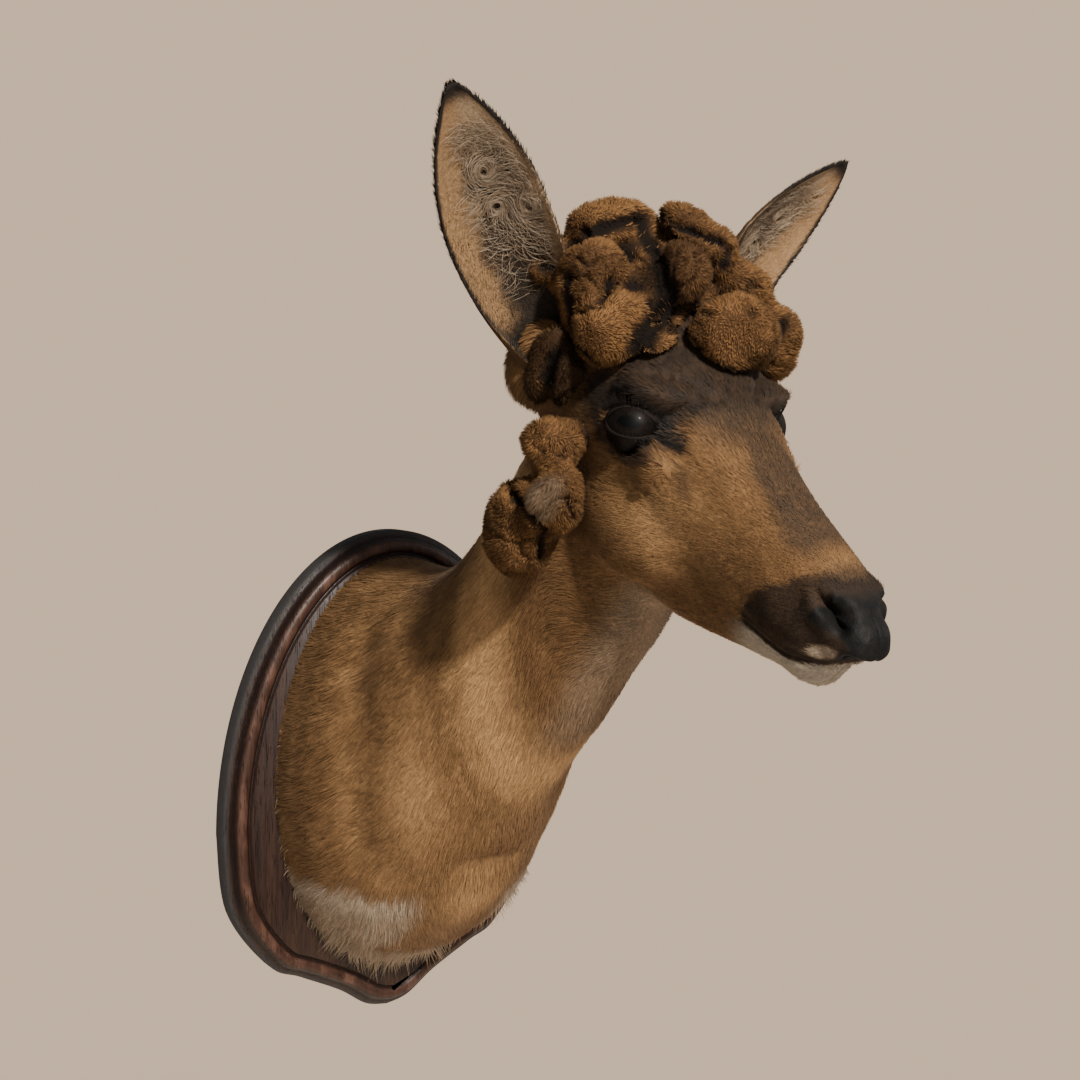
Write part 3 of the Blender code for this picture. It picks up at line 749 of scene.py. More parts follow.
# ------------------------------------------------------------------ skin
@dataclass
class Skin:
    """One skin over the head, neck and shoulders, set in by the coat's depth."""

    voxel: float = 0.0023
    push: float = 0.0004
    nodes: tuple = ("head", "lower_jaw", "nose_pad", "neck", "shoulders")
    # centre, radii and height of the soft rises and hollows, in the head frame
    rises: tuple = (((0.0, 0.1310, -0.0300), (0.0150, 0.0085, 0.0085), 0.0042),
                    ((0.0165, 0.1245, -0.0045), (0.0090, 0.0100, 0.0085), 0.0012),
                    ((0.0320, 0.0270, 0.0040), (0.010, 0.0090, 0.0036), -0.0020),
                    ((0.0380, 0.0020, 0.0185), (0.012, 0.0180, 0.0045), 0.0014),
                    ((0.0420, 0.0060, 0.0145), (0.012, 0.0160, 0.0024), -0.0012),
                    ((0.0300, 0.0480, -0.0050), (0.010, 0.0220, 0.0080), -0.0012),
                    ((0.0300, 0.0560, -0.0420), (0.012, 0.0160, 0.0080), -0.0010),
                    ((0.0490, -0.0680, -0.0160), (0.017, 0.018, 0.026), 0.0045))
    # path, width and depth of the brow's crease and the one under the eye
    creases: tuple = ((((0.0330, -0.0080, 0.0240), (0.0237, 0.0018, 0.0250),
                        (0.0177, 0.0096, 0.0248), (0.0110, 0.0166, 0.0240)), 0.0026, 0.0022),
                      (((0.0450, -0.0080, -0.0118), (0.0430, 0.0060, -0.0118),
                        (0.0389, 0.0190, -0.0058)), 0.0014, 0.0012))

    def coat_depth(self, points: np.ndarray) -> np.ndarray:
        """Return how far the coat stands off the skin at points on its outside."""
        local = HEAD.local(points)
        reach = HEAD.reach(local)
        face = 0.0007 + 0.0011 * ramp(reach, 0.055, -0.010)
        depth = face + 0.0022 * ramp(reach, -0.060, -0.120) + 0.0014 * ramp(points[:, 1], -0.16, -0.08)
        return depth * (1 - Markings.pad(local))

    def sculpt(self, points: np.ndarray) -> np.ndarray:
        """Return the height of the folds, lips and nostrils over the plain form."""
        local = HEAD.local(points)
        height = self.mouth(local) + self.nose(local) + self.trunk(points)
        for centre, radii, rise in self.rises:
            height += swell(local, centre, radii) * rise
        for path, width, depth in self.creases:
            height -= groove(local, path, width) * depth
        ahead, up = local[:, 1], local[:, 2]
        crust = ramp(up, 0.014, 0.022) * ramp(ahead, 0.026, 0.010) * ramp(ahead, -0.05, -0.03)
        return height + crust * layered(points, 0.006, 41) * 0.0012

    @staticmethod
    def mouth(local: np.ndarray) -> np.ndarray:
        """Return the height of the lips along the mouth's line, and of the step to the chin."""
        ahead, up = local[:, 1], local[:, 2]
        off = up - Markings.mouth_line(ahead)
        front = ramp(ahead, 0.084, 0.092)
        # place, width and height of the mouth's slit and of the lip over and under it
        bands = ((0.0, 0.0009, -0.0015), (0.0040, 0.0028, 0.0011), (-0.0040, 0.0026, 0.0007))
        height = sum(np.exp(-((off - place) / width) ** 2) * front * rise
                     for place, width, rise in bands)
        height -= ramp(off, 0.0010, -0.0030) * ramp(ahead, 0.1290, 0.1380) * 0.0040
        upper = ramp(up, -0.0140, -0.0220) * ramp(off, -0.0012, 0.0010) * ramp(ahead, 0.1320, 0.1400)
        return height - upper * 0.0032

    @staticmethod
    def nose(local: np.ndarray) -> np.ndarray:
        """Return the depth of the nostrils, of the groove between them and of the pad's top."""
        side, ahead, up = np.abs(local[:, 0]), local[:, 1], local[:, 2]
        pit = groove(local, ((0.0184, 0.1212, -0.0028), (0.0171, 0.1262, -0.0048),
                             (0.0140, 0.1300, -0.0090)), 0.0034)
        hole = swell(local, (0.0146, 0.1274, -0.0042), (0.0050, 0.0052, 0.0044))
        slit = swell(local, (0.0190, 0.1215, -0.0025), (0.0040, 0.0050, 0.0022))
        parting = np.exp(-(side / 0.0012) ** 2) * ramp(ahead, 0.116, 0.122) * ramp(up, 0.002, -0.006)
        top = ramp(ahead, 0.1270, 0.1365) * ramp(up, -0.0060, 0.0015)
        return -0.0125 * np.maximum.reduce((pit, hole, slit)) - 0.0010 * parting - 0.0022 * top

    @staticmethod
    def trunk(points: np.ndarray) -> np.ndarray:
        """Return the height of the shoulder's crease, the chest's fold and lobe, and the leg stumps."""
        x, y, z = points.T
        side = np.abs(x)
        flank = ramp(side, 0.040, 0.055) * ramp(z, -0.045, -0.015) * ramp(z, 0.125, 0.090)
        crease = -0.0965 + 0.352 * np.maximum(z - 0.045, 0.0)
        height = np.exp(-((y - crease) / 0.016) ** 2) * flank * -0.0034
        height += np.exp(-((y - crease + 0.032) / 0.018) ** 2) * flank * 0.0016
        low = ramp(side, 0.030, 0.018) * ramp(y, -0.09, -0.105)
        height -= np.exp(-((z + 0.0265 + 0.06 * side) / 0.0075) ** 2) * low * 0.0022
        height += swell(points, (0.0, -0.115, -0.050), (0.024, 0.025, 0.018)) * 0.0022
        height += swell(points, (0.052, -0.060, -0.064), (0.024, 0.036, 0.018)) * 0.0020
        return height

    def build(self) -> bpy.types.Object:
        """Build the skin.

        Returns:
            The skin's object, with its markings kept on its vertices.
        """
        skin = remeshed(merged_nodes(list(self.nodes), self.push), self.voxel)
        self.refine(skin)
        mesh = skin.data
        points = coordinates(mesh)
        edges = edge_pairs(mesh)
        local = HEAD.local(points)
        calm = 0.30 + 0.45 * ramp(local[:, 1], 0.09, 0.0)
        back = points[:, 1] > SKIN_BACK
        wall = points[back, 1]
        points = relax(points, edges, 14, calm * ~back)
        set_coordinates(mesh, points)
        normals = unit(relax(vertex_normals(mesh), edges, 8, np.full(len(points), 0.5)))
        rise = self.sculpt(points) - self.coat_depth(points) - self.push
        points = points + normals * rise[:, None]
        points[back, 1] = wall
        points = Lids.clear_socket(points)
        set_coordinates(mesh, points)
        store_all(mesh, Markings.face(points))
        store(mesh, "tone", np.clip(0.5 + layered(points, 0.004, 5) * 0.45, 0, 1))
        skin.name = "skin"
        mesh.shade_smooth()
        return skin

    @staticmethod
    def refine(skin: bpy.types.Object) -> None:
        """Split the quads round the nose and eyes, where the folds are fine."""
        bm = bmesh.new()
        bm.from_mesh(skin.data)
        centres = np.array([edge.verts[0].co for edge in bm.edges])
        local = HEAD.local(centres)
        eye = swell(local, (0.042, 0.004, 0.0), (0.02, 0.02, 0.02)) > 0.30
        near = eye | ((local[:, 1] > 0.074) & (local[:, 2] > -0.055))
        chosen = [edge for edge, keep in zip(bm.edges, near) if keep]
        bmesh.ops.subdivide_edges(bm, edges=chosen, cuts=1, use_grid_fill=True)
        bmesh.ops.triangulate(bm, faces=[face for face in bm.faces if len(face.verts) > 4])
        bm.to_mesh(skin.data)
        bm.free()


# ------------------------------------------------------------------ eyes and lids
@dataclass
class Lids:
    """The glass eye and the lids that hold it, on one side."""

    side: int
    half_long: float = 0.0124
    half_high: float = 0.0068
    lower_share: float = 0.92
    corner: float = 0.22
    least_depth: float = 0.25
    steps: int = 56
    # size of the opening's outline and height off the glass, from the lid's edge outwards
    rim: tuple = ((0.91, -0.0010), (0.91, -0.0002), (0.945, 0.0002), (1.0, 0.0004), (1.07, 0.0004))

    @staticmethod
    def centre(side: int) -> np.ndarray:
        """Return an eyeball's centre."""
        low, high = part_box(f"eye_{SIDE_WORDS[side]}")
        return (np.array(low) + np.array(high)) / 2 - Lids.axes(side)[0] * 0.0014

    @staticmethod
    def radius() -> float:
        """Return the eyeball's radius."""
        low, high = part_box("eye_right")
        return (high.x - low.x) / 2

    @staticmethod
    def axes(side: int) -> tuple:
        """Return where an eye looks, the way to its front corner, and its upward way."""
        look = unit(np.array((side * 0.72, 0.0, 0.0)) + HEAD.ahead * 0.44 + HEAD.up * 0.46)
        front = HEAD.ahead * 0.86 + HEAD.up * 0.51
        front = unit(front - look * (front @ look))
        above = np.cross(front, look) * side
        if above @ HEAD.up < 0:
            above = -above
        return look, front, above

    @classmethod
    def almond(cls, side: int, offset: np.ndarray) -> tuple:
        """Return each point's place relative to the lid opening.

        Args:
            side: Which eye.
            offset: Points from the eyeball's centre.

        Returns:
            The size of the almond that the point lies on, 1 at the lid edge, and
            whether the point is in front of the eyeball's middle.
        """
        look, front, above = cls.axes(side)
        reach = np.linalg.norm(offset, axis=1) / cls.radius()
        flat = offset / np.maximum(reach, 0.6)[:, None]
        size = np.hypot(flat @ front / cls.half_long, flat @ above / cls.half_high)
        return size, offset @ look > 0

    @classmethod
    def clear_socket(cls, points: np.ndarray) -> np.ndarray:
        """Raise the skin round the lids, and draw it in behind the eyeball inside them."""
        for side in SIDE_WORDS:
            centre, (look, _, above) = cls.centre(side), cls.axes(side)
            offset = points - centre
            size, ahead = cls.almond(side, offset)
            near = (np.linalg.norm(offset, axis=1) < 0.030) & ahead
            lower = 0.50 + 0.50 * ramp(offset @ above, 0.004, -0.004)
            raised = np.exp(-((size - 1.48) / 0.46) ** 2) * near * lower * 0.0060
            points = points + look * raised[:, None]
            offset = points - centre
            pull = ramp(size, 1.34, 1.10) * near
            behind = unit(offset) * (cls.radius() - 0.0030)
            points = points + (behind - offset) * pull[:, None]
        return points

    def eyeball(self) -> bpy.types.Object:
        """Build the glass eye with its cornea."""
        look, front, above = self.axes(self.side)
        bm = bmesh.new()
        bmesh.ops.create_uvsphere(bm, u_segments=64, v_segments=40, radius=self.radius())
        turn = Matrix((Vector(front), Vector(above), Vector(look))).transposed()
        if turn.determinant() < 0:
            turn = Matrix((-Vector(front), Vector(above), Vector(look))).transposed()
        bmesh.ops.transform(bm, matrix=turn.to_4x4(), verts=bm.verts)
        bmesh.ops.translate(bm, vec=Vector(self.centre(self.side)), verts=bm.verts)
        eye = from_bmesh(f"glass_eye_{SIDE_WORDS[self.side]}", bm)
        offset = coordinates(eye.data) - self.centre(self.side)
        ways = unit(offset)
        depth = ways @ look
        bulge = ramp(depth, 0.62, 0.90) * 0.0003
        set_coordinates(eye.data, coordinates(eye.data) + ways * bulge[:, None])
        store(eye.data, "iris", ramp(depth, 0.60, 0.68))
        level = np.hypot(ways @ front / 0.42, ways @ above / 0.22)
        store(eye.data, "pupil", ramp(level, 1.1, 0.9) * (depth > 0))
        return eye

    def section(self, tree: BVHTree, angle: float) -> list:
        """Return one cut through the rim, out from the glass onto the skin and back beneath.

        Args:
            tree: The skin's surface.
            angle: Place round the opening, 0 at the front corner.

        Returns:
            The cut's places in order.
        """
        look, front, above = self.axes(self.side)
        centre, radius = self.centre(self.side), self.radius()
        across, rise = math.cos(angle), math.sin(angle)
        x = self.half_long * across * (1 + self.corner * max(0.0, across) ** 8)
        y = self.half_high * rise * (1.0 if rise > 0 else self.lower_share)
        y = y * (1 - self.corner * abs(across) ** 5)
        flat = front * x + above * y
        least = (radius * self.least_depth) ** 2
        cut = []
        for size, height in self.rim:
            depth = math.sqrt(max(radius ** 2 - (size * x) ** 2 - (size * y) ** 2, least))
            cut.append(centre + unit(flat * size + look * depth) * (radius + height))
        beyond = centre + unit(flat) * (np.linalg.norm(flat) + 0.0040)
        hit, normal, _, _ = tree.ray_cast(Vector(beyond + look * 0.04), Vector(-look), 0.08)
        if hit is None:
            hit, normal, _, _ = tree.find_nearest(Vector(beyond))
        outer = np.array(hit) - np.array(normal) * 0.0009
        edge = cut[-1]
        knee = edge * 0.45 + outer * 0.55 + look * (0.0004 if rise > 0 else -0.0002)
        for k in range(1, 7):
            t = k / 6
            crease = -0.0008 * math.exp(-((t - 0.42) / 0.10) ** 2) * (0.4 + 0.6 * max(0.0, rise))
            place = edge * (1 - t) ** 2 + knee * 2 * t * (1 - t) + outer * t * t
            cut.append(place + look * crease)
        for place in (cut[10], cut[7], cut[4]):
            cut.append(place - look * 0.0016 - unit(flat) * 0.0002)
        return cut

    def ring(self, tree: BVHTree) -> bpy.types.Object:
        """Build both lids as one closed rim that runs from the eyeball out onto the skin.

        Args:
            tree: The skin's surface.

        Returns:
            The lids' object.
        """
        bm = bmesh.new()
        angles = [2 * math.pi * i / self.steps for i in range(self.steps)]
        rings = [[bm.verts.new(Vector(place)) for place in self.section(tree, angle)]
                 for angle in angles]
        for near, far in zip(rings, rings[1:] + rings[:1]):
            bridge(bm, near, far)
        bmesh.ops.recalc_face_normals(bm, faces=bm.faces)
        lids = from_bmesh(f"eyelids_{SIDE_WORDS[self.side]}", bm)
        plain = np.zeros(len(lids.data.vertices))
        masks = dict.fromkeys(Markings.NAMES, plain)
        store_all(lids.data, masks | {"dark": plain + 1.0, "bare": plain + 0.10, "tone": plain + 0.5})
        return lids

    def lashes(self) -> bpy.types.Object:
        """Grow the upper lashes, and a few lower ones."""
        look, front, above = self.axes(self.side)
        centre, radius = self.centre(self.side), self.radius()
        rng = np.random.default_rng(5 + self.side)
        count, steps = 130, 5
        angle = np.where(rng.random(count) < 0.9,
                         rng.uniform(0.25, 2.7, count), rng.uniform(-1.3, -0.5, count))
        across, rise = np.cos(angle), np.sin(angle)
        upper = rise > 0
        flat = (np.outer(self.half_long * across, front)
                + np.outer(self.half_high * rise * np.where(upper, 1.0, self.lower_share), above))
        least = (radius * self.least_depth) ** 2
        depth = np.sqrt(np.maximum(radius ** 2 - np.sum(flat ** 2, axis=1), least))
        root = centre + unit(flat + look * depth[:, None]) * (radius + 0.0016)
        long = np.where(upper, rng.uniform(0.004, 0.007, count), rng.uniform(0.002, 0.004, count))
        way = unit(unit(flat) * 0.9 + look * 0.9 - front * rng.uniform(-0.1, 0.45, count)[:, None])
        path = [root]
        for k in range(steps):
            curl = above * np.where(upper, 0.30, -0.15)[:, None] * k
            path.append(path[-1] + unit(way + curl) * (long / steps)[:, None])
        uv = np.stack((angle / 7 + 0.5, rng.random(count)), axis=1)
        masks = {"dark": np.ones(count), "tone": np.full(count, 0.3)}
        return Tufts(np.stack(path, axis=1), np.tile(look, (count, 1)), np.full(count, 0.00022),
                     0.9).build(f"lashes_{SIDE_WORDS[self.side]}", uv, masks)


# ------------------------------------------------------------------ tufts
@dataclass
class Tufts:
    """Closed, tapering spikes with a three-cornered section, joined into one mesh."""

    paths: np.ndarray
    normals: np.ndarray
    widths: np.ndarray
    flatness: float = 0.45
    ground: np.ndarray | None = None
    blend: float = 0.75

    def rings(self) -> np.ndarray:
        """Return every vertex: three round each path point but the last, then the tip."""
        count, length = self.paths.shape[0], self.paths.shape[1] - 1
        verts = np.empty((count, 3 * length + 1, 3))
        for k in range(length):
            along = unit(self.paths[:, k + 1] - self.paths[:, max(k - 1, 0)])
            left = unit(np.cross(self.normals, along))
            above = np.cross(along, left)
            width = (self.widths * (1 - (k / length) ** 1.5) * 0.5)[:, None]
            height = width * 2 * self.flatness
            base = self.paths[:, k]
            verts[:, 3 * k] = base + left * width - above * height * 0.3
            verts[:, 3 * k + 1] = base - left * width - above * height * 0.3
            verts[:, 3 * k + 2] = base + above * height * 0.7
        verts[:, -1] = self.paths[:, -1]
        return verts

    def shading(self, verts: np.ndarray) -> np.ndarray:
        """Return each vertex's shading normal, drawn towards the ground's own."""
        count, per = verts.shape[:2]
        axis = np.repeat(self.paths[:, :-1], 3, axis=1)
        round_way = np.concatenate((unit(verts[:, :-1] - axis), self.ground[:, None]), axis=1)
        mixed = round_way * (1 - self.blend) + self.ground[:, None] * self.blend
        return unit(mixed).reshape(count * per, 3)

    @staticmethod
    def triangles(length: int) -> np.ndarray:
        """Return one spike's faces for a path of so many stretches."""
        faces = [(0, 1, 2)]
        for k in range(length - 1):
            a, b = 3 * k, 3 * k + 3
            for one, two in ((0, 1), (2, 0), (1, 2)):
                faces.append((a + one, b + one, b + two))
                faces.append((a + one, b + two, a + two))
        last, tip = 3 * (length - 1), 3 * length
        faces += [(last, tip, last + 1), (last, last + 2, tip), (last + 1, tip, last + 2)]
        return np.array(faces, np.int32)

    def build(self, name: str, uv: np.ndarray, masks: dict) -> bpy.types.Object:
        """Make the tufts' object.

        Args:
            name: The piece's name.
            uv: Each root's place on the unwrapped skin, 0 to 1.
            masks: Values to keep, one a tuft.

        Returns:
            The object, with its OFBake map and its values on the vertices.
        """
        verts = self.rings()
        count, per = verts.shape[:2]
        length = self.paths.shape[1] - 1
        pattern = self.triangles(length)
        corners = (pattern.ravel()[None, :] + (np.arange(count) * per)[:, None]).astype(np.int32).ravel()
        faces = count * len(pattern)
        mesh = bpy.data.meshes.new(name)
        mesh.vertices.add(count * per)
        mesh.vertices.foreach_set("co", verts.astype(np.float32).ravel())
        mesh.loops.add(faces * 3)
        mesh.loops.foreach_set("vertex_index", corners)
        mesh.polygons.add(faces)
        mesh.polygons.foreach_set("loop_start", np.arange(faces, dtype=np.int32) * 3)
        mesh.update(calc_edges=True)
        patch = np.zeros((per, 2))
        for k in range(length):
            patch[3 * k:3 * k + 3] = ((0.0, k / length), (1.0, k / length), (0.5, (k + 0.3) / length))
        patch[-1] = (0.5, 1.0)
        root = np.clip(uv, 0.002, 0.994)
        spread = root[:, None, :] + patch[None] * UV_PATCH
        layer = mesh.uv_layers.new(name=UV_NAME)
        layer.uv.foreach_set("vector", spread.reshape(-1, 2)[corners].astype(np.float32).ravel())
        for key, values in masks.items():
            store(mesh, key, np.repeat(values, per))
        piece = new_piece(name, mesh)
        if self.ground is not None:
            mesh.normals_split_custom_set_from_vertices(self.shading(verts).astype(np.float32))
        LOG.info("%s: %d tufts, %d triangles", name, count, faces)
        return piece


@dataclass
class Ground:
    """A surface that hair grows on, sampled evenly by area."""

    points: np.ndarray
    normals: np.ndarray
    corners: np.ndarray

    @classmethod
    def of(cls, item: bpy.types.Object) -> "Ground":
        """Read a mesh's surface."""
        mesh = item.data
        mesh.calc_loop_triangles()
        flat = np.empty(len(mesh.loop_triangles) * 3, np.int32)
        mesh.loop_triangles.foreach_get("vertices", flat)
        return cls(coordinates(mesh), vertex_normals(mesh), flat.reshape(-1, 3))

    def scatter(self, per_area: float, weight: np.ndarray, seed: int) -> tuple:
        """Pick roots on the surface.

        Args:
            per_area: Roots for each square metre where the weight is 1.
            weight: One weight a vertex.
            seed: Seed of the picks.

        Returns:
            Root places and their normals.
        """
        rng = np.random.default_rng(seed)
        a, b, c = (self.points[self.corners[:, i]] for i in range(3))
        area = np.linalg.norm(np.cross(b - a, c - a), axis=1) / 2
        load = area * weight[self.corners].mean(axis=1)
        total = int(load.sum() * per_area)
        pick = rng.choice(len(load), size=total, p=load / load.sum())
        u, v = np.sqrt(rng.random(total)), rng.random(total)
        mix = np.stack((1 - u, u * (1 - v), u * v), axis=1)[..., None]
        chosen = self.corners[pick]
        place = (self.points[chosen] * mix).sum(axis=1)
        normal = unit((self.normals[chosen] * mix).sum(axis=1))
        return place, normal


def fullness() -> float:
    return 1.0


def raised_tips(roots: np.ndarray, way: np.ndarray, normals: np.ndarray,
                long: np.ndarray, lift: np.ndarray) -> np.ndarray:
    """Return the tips of straight hairs.

    Args:
        roots: Root places.
        way: Which way each hair lies.
        normals: The surface's normals at the roots.
        long: Lengths.
        lift: Angles off the surface, in radians.

    Returns:
        The tip places.
    """
    return roots + way * (long * np.cos(lift))[:, None] + normals * (long * np.sin(lift))[:, None]


def clumped(tips: np.ndarray, size: float, pull: float, seed: int) -> np.ndarray:
    """Draw nearby hair tips together into locks.

    Args:
        tips: Tip places.
        size: Width of a lock.
        pull: How far each tip goes to its lock's middle, 0 to 1.
        seed: Which way the locks fall.

    Returns:
        The moved tips.
    """
    jitter = np.stack([noise(tips, size * 2.5, seed + k) for k in range(3)], axis=1)
    cell = np.floor((tips + jitter * size) / size).astype(np.int64)
    _, index = np.unique(cell, axis=0, return_inverse=True)
    index = index.ravel()
    count = np.bincount(index).astype(float)
    middle = np.stack([np.bincount(index, tips[:, k]) / count for k in range(3)], axis=1)
    return tips + (middle[index] - tips) * pull


# ------------------------------------------------------------------ coat
class Patch(Enum):
    """The parts of the coat, each a piece of its own."""

    FACE_RIGHT = "coat_face_right"
    FACE_LEFT = "coat_face_left"
    CROWN = "coat_crown"
    NECK_RIGHT = "coat_neck_right"
    NECK_LEFT = "coat_neck_left"
    SHOULDER_RIGHT = "coat_shoulder_right"
    SHOULDER_LEFT = "coat_shoulder_left"


@dataclass
class Coat:
    """The short summer coat over the whole skin."""

    ground: Ground
    per_area: float = 1.35e6
    fringe_per_area: float = 3.2e5
    spine: tuple = ((-0.240, 0.195), (-0.215, 0.170), (-0.185, 0.132), (-0.150, 0.090),
                    (-0.120, 0.056), (-0.085, 0.030), (-0.050, 0.014), (-0.010, 0.006))

    def spine_place(self, points: np.ndarray) -> tuple:
        """Return each point's distance down the neck, and the way down it there."""
        knots = np.array(self.spine)
        runs = np.diff(knots, axis=0)
        lengths = np.linalg.norm(runs, axis=1)
        starts = np.concatenate(((0.0,), np.cumsum(lengths)))[:-1]
        flat = points[:, 1:]
        best = np.full(len(points), np.inf)
        place, way = np.zeros(len(points)), np.zeros((len(points), 2))
        for start, run, length, origin in zip(starts, runs, lengths, knots):
            t = np.clip((flat - origin) @ run / length ** 2, 0, 1)
            gap = np.linalg.norm(flat - origin - t[:, None] * run, axis=1)
            closer = gap < best
            best[closer] = gap[closer]
            place[closer] = (start + t * length)[closer]
            way[closer] = run / length
        return place, np.concatenate((np.zeros((len(points), 1)), way), axis=1)

    def lay(self, points: np.ndarray, normals: np.ndarray) -> np.ndarray:
        """Return which way the hair lies at each root."""
        local = HEAD.local(points)
        _, down = self.spine_place(points)
        head = ramp(HEAD.reach(local), -0.085, -0.045)[:, None]
        fall = np.array((0.0, 0.0, -1.0))
        face = -HEAD.ahead + fall * 0.25 + np.outer(np.clip(local[:, 0] / 0.03, -1, 1), (0.35, 0.0, 0.0))
        body = down + fall * 0.22
        away = np.stack((points[:, 0], np.zeros(len(points)), points[:, 2]), axis=1)
        flare = ramp(points[:, 1], -0.060, -0.022)[:, None]
        body = body + unit(away) * flare * 0.9
        swirl = np.exp(-((points[:, 0] + 0.03) ** 2 + (points[:, 1] + 0.098) ** 2
                         + (points[:, 2] + 0.072) ** 2) / 0.03 ** 2)[:, None]
        body = body + np.cross(normals, down) * swirl * 1.2
        way = flatten(face * head + body * (1 - head), normals)
        across = np.cross(normals, way)
        turn = layered(points, 0.030, 71) * 0.35 + noise(points, 0.006, 75) * 0.22
        return unit(way + across * turn[:, None])

    def part(self, patch: Patch, points: np.ndarray) -> np.ndarray:
        """Return which points belong to a part of the coat."""
        reach = HEAD.reach(HEAD.local(points))
        right = points[:, 0] < 0
        face, crown = reach > -0.035, (reach > -0.105) & (reach <= -0.035)
        shoulder = ~face & ~crown & (points[:, 1] > -0.085)
        neck = ~face & ~crown & ~shoulder
        return {Patch.FACE_RIGHT: face & right, Patch.FACE_LEFT: face & ~right, Patch.CROWN: crown,
                Patch.NECK_RIGHT: neck & right, Patch.NECK_LEFT: neck & ~right,
                Patch.SHOULDER_RIGHT: shoulder & right, Patch.SHOULDER_LEFT: shoulder & ~right}[patch]

    def unwrap(self, patch: Patch, points: np.ndarray) -> np.ndarray:
        """Return each root's place on the skin, rolled flat round its own axis."""
        local = HEAD.local(points)
        if patch in (Patch.FACE_RIGHT, Patch.FACE_LEFT, Patch.CROWN):
            turn = np.arctan2(local[:, 0], local[:, 2] + 0.025) / (2 * math.pi) + 0.5
            run = local[:, 1] + 0.10
            size = 0.24
        else:
            middle = np.interp(points[:, 1], *np.array(self.spine).T)
            turn = np.arctan2(points[:, 0], points[:, 2] - middle) / (2 * math.pi) + 0.5
            run, _ = self.spine_place(points)
            size = 0.36
        return np.stack((turn, np.clip(run / size, 0, 1)), axis=1)

    def build(self) -> list:
        """Build every part of the coat.

        Returns:
            The coat's pieces.
        """
        ground = self.ground
        local = HEAD.local(ground.points)
        masks = Markings.face(ground.points)
        back = ramp(ground.points[:, 1], SKIN_BACK - 0.0010, SKIN_BACK)
        keep = (1 - ramp(masks["bare"], 0.3, 0.6)) * (1 - back)
        inside_mouth = np.abs(local[:, 2] - Markings.mouth_line(local[:, 1])) < 0.0005
        keep = np.where(inside_mouth & (local[:, 1] > 0.080), 0.0, keep)
        density = 0.75 + 0.55 * ramp(HEAD.reach(local), -0.05, 0.03)
        roots, normals = ground.scatter(self.per_area * fullness(), keep * density, 3)
        pieces = []
        for patch in Patch:
            chosen = self.part(patch, roots)
            pieces.append(self.tuft(patch, roots[chosen], normals[chosen]))
        return [*pieces, self.fringe()]

    def fringe(self) -> bpy.types.Object:
        """Grow the long loose hair under the shoulders and over the board's field."""
        ground = self.ground
        points = ground.points
        pale = Markings.face(points)["pale"] * ramp(points[:, 1], -0.125, -0.095)
        edge = ramp(points[:, 1], -0.032, -0.022) * ramp(points[:, 2], 0.06, -0.02)
        edge = edge * ramp(points[:, 1], -0.0188, -0.0200)
        weight = np.maximum(pale * ramp(points[:, 2], -0.045, -0.055), edge * 0.8)
        roots, normals = ground.scatter(self.fringe_per_area * fullness(), weight, 8)
        kept = roots[:, 1] < -0.0190
        roots, normals = roots[kept], normals[kept]
        rng = np.random.default_rng(88)
        count = len(roots)
        low = ramp(roots[:, 2], -0.050, -0.085)
        long = rng.uniform(0.007, 0.012, count) + low * rng.uniform(0.003, 0.010, count)
        way = self.lay(roots, normals)
        swirl = np.stack([noise(roots, 0.009, 500 + k) for k in range(3)], axis=1)
        heading = unit(way * 0.85 + normals * 0.35 + swirl * 0.35)
        fall = np.array((0.0, 0.10, -0.5))
        path = [roots - normals * 0.0005]
        steps = 5
        for k in range(steps):
            heading = unit(heading + fall * 0.22 + swirl * 0.10)
            path.append(path[-1] + heading * (long / steps)[:, None])
        curve = np.stack(path, axis=1)
        wall = -0.0186 - rng.uniform(0.0, 0.0015, count)
        curve[:, :, 1] = np.minimum(curve[:, :, 1], wall[:, None])
        curve[:, -1] = clumped(curve[:, -1], 0.005, 0.45, 93)
        curve[:, -2] = clumped(curve[:, -2], 0.005, 0.25, 93)
        masks = Markings.face(roots)
        del masks["bare"]
        masks["tone"] = np.clip(0.55 + rng.normal(0, 0.22, count), 0, 1)
        masks["pale"] = np.clip(masks["pale"] + 0.15, 0, 1)
        uv = self.unwrap(Patch.SHOULDER_RIGHT, roots)
        return Tufts(curve, normals, rng.uniform(0.00045, 0.00080, count), 0.6,
                     ground=normals).build("coat_fringe", uv, masks)

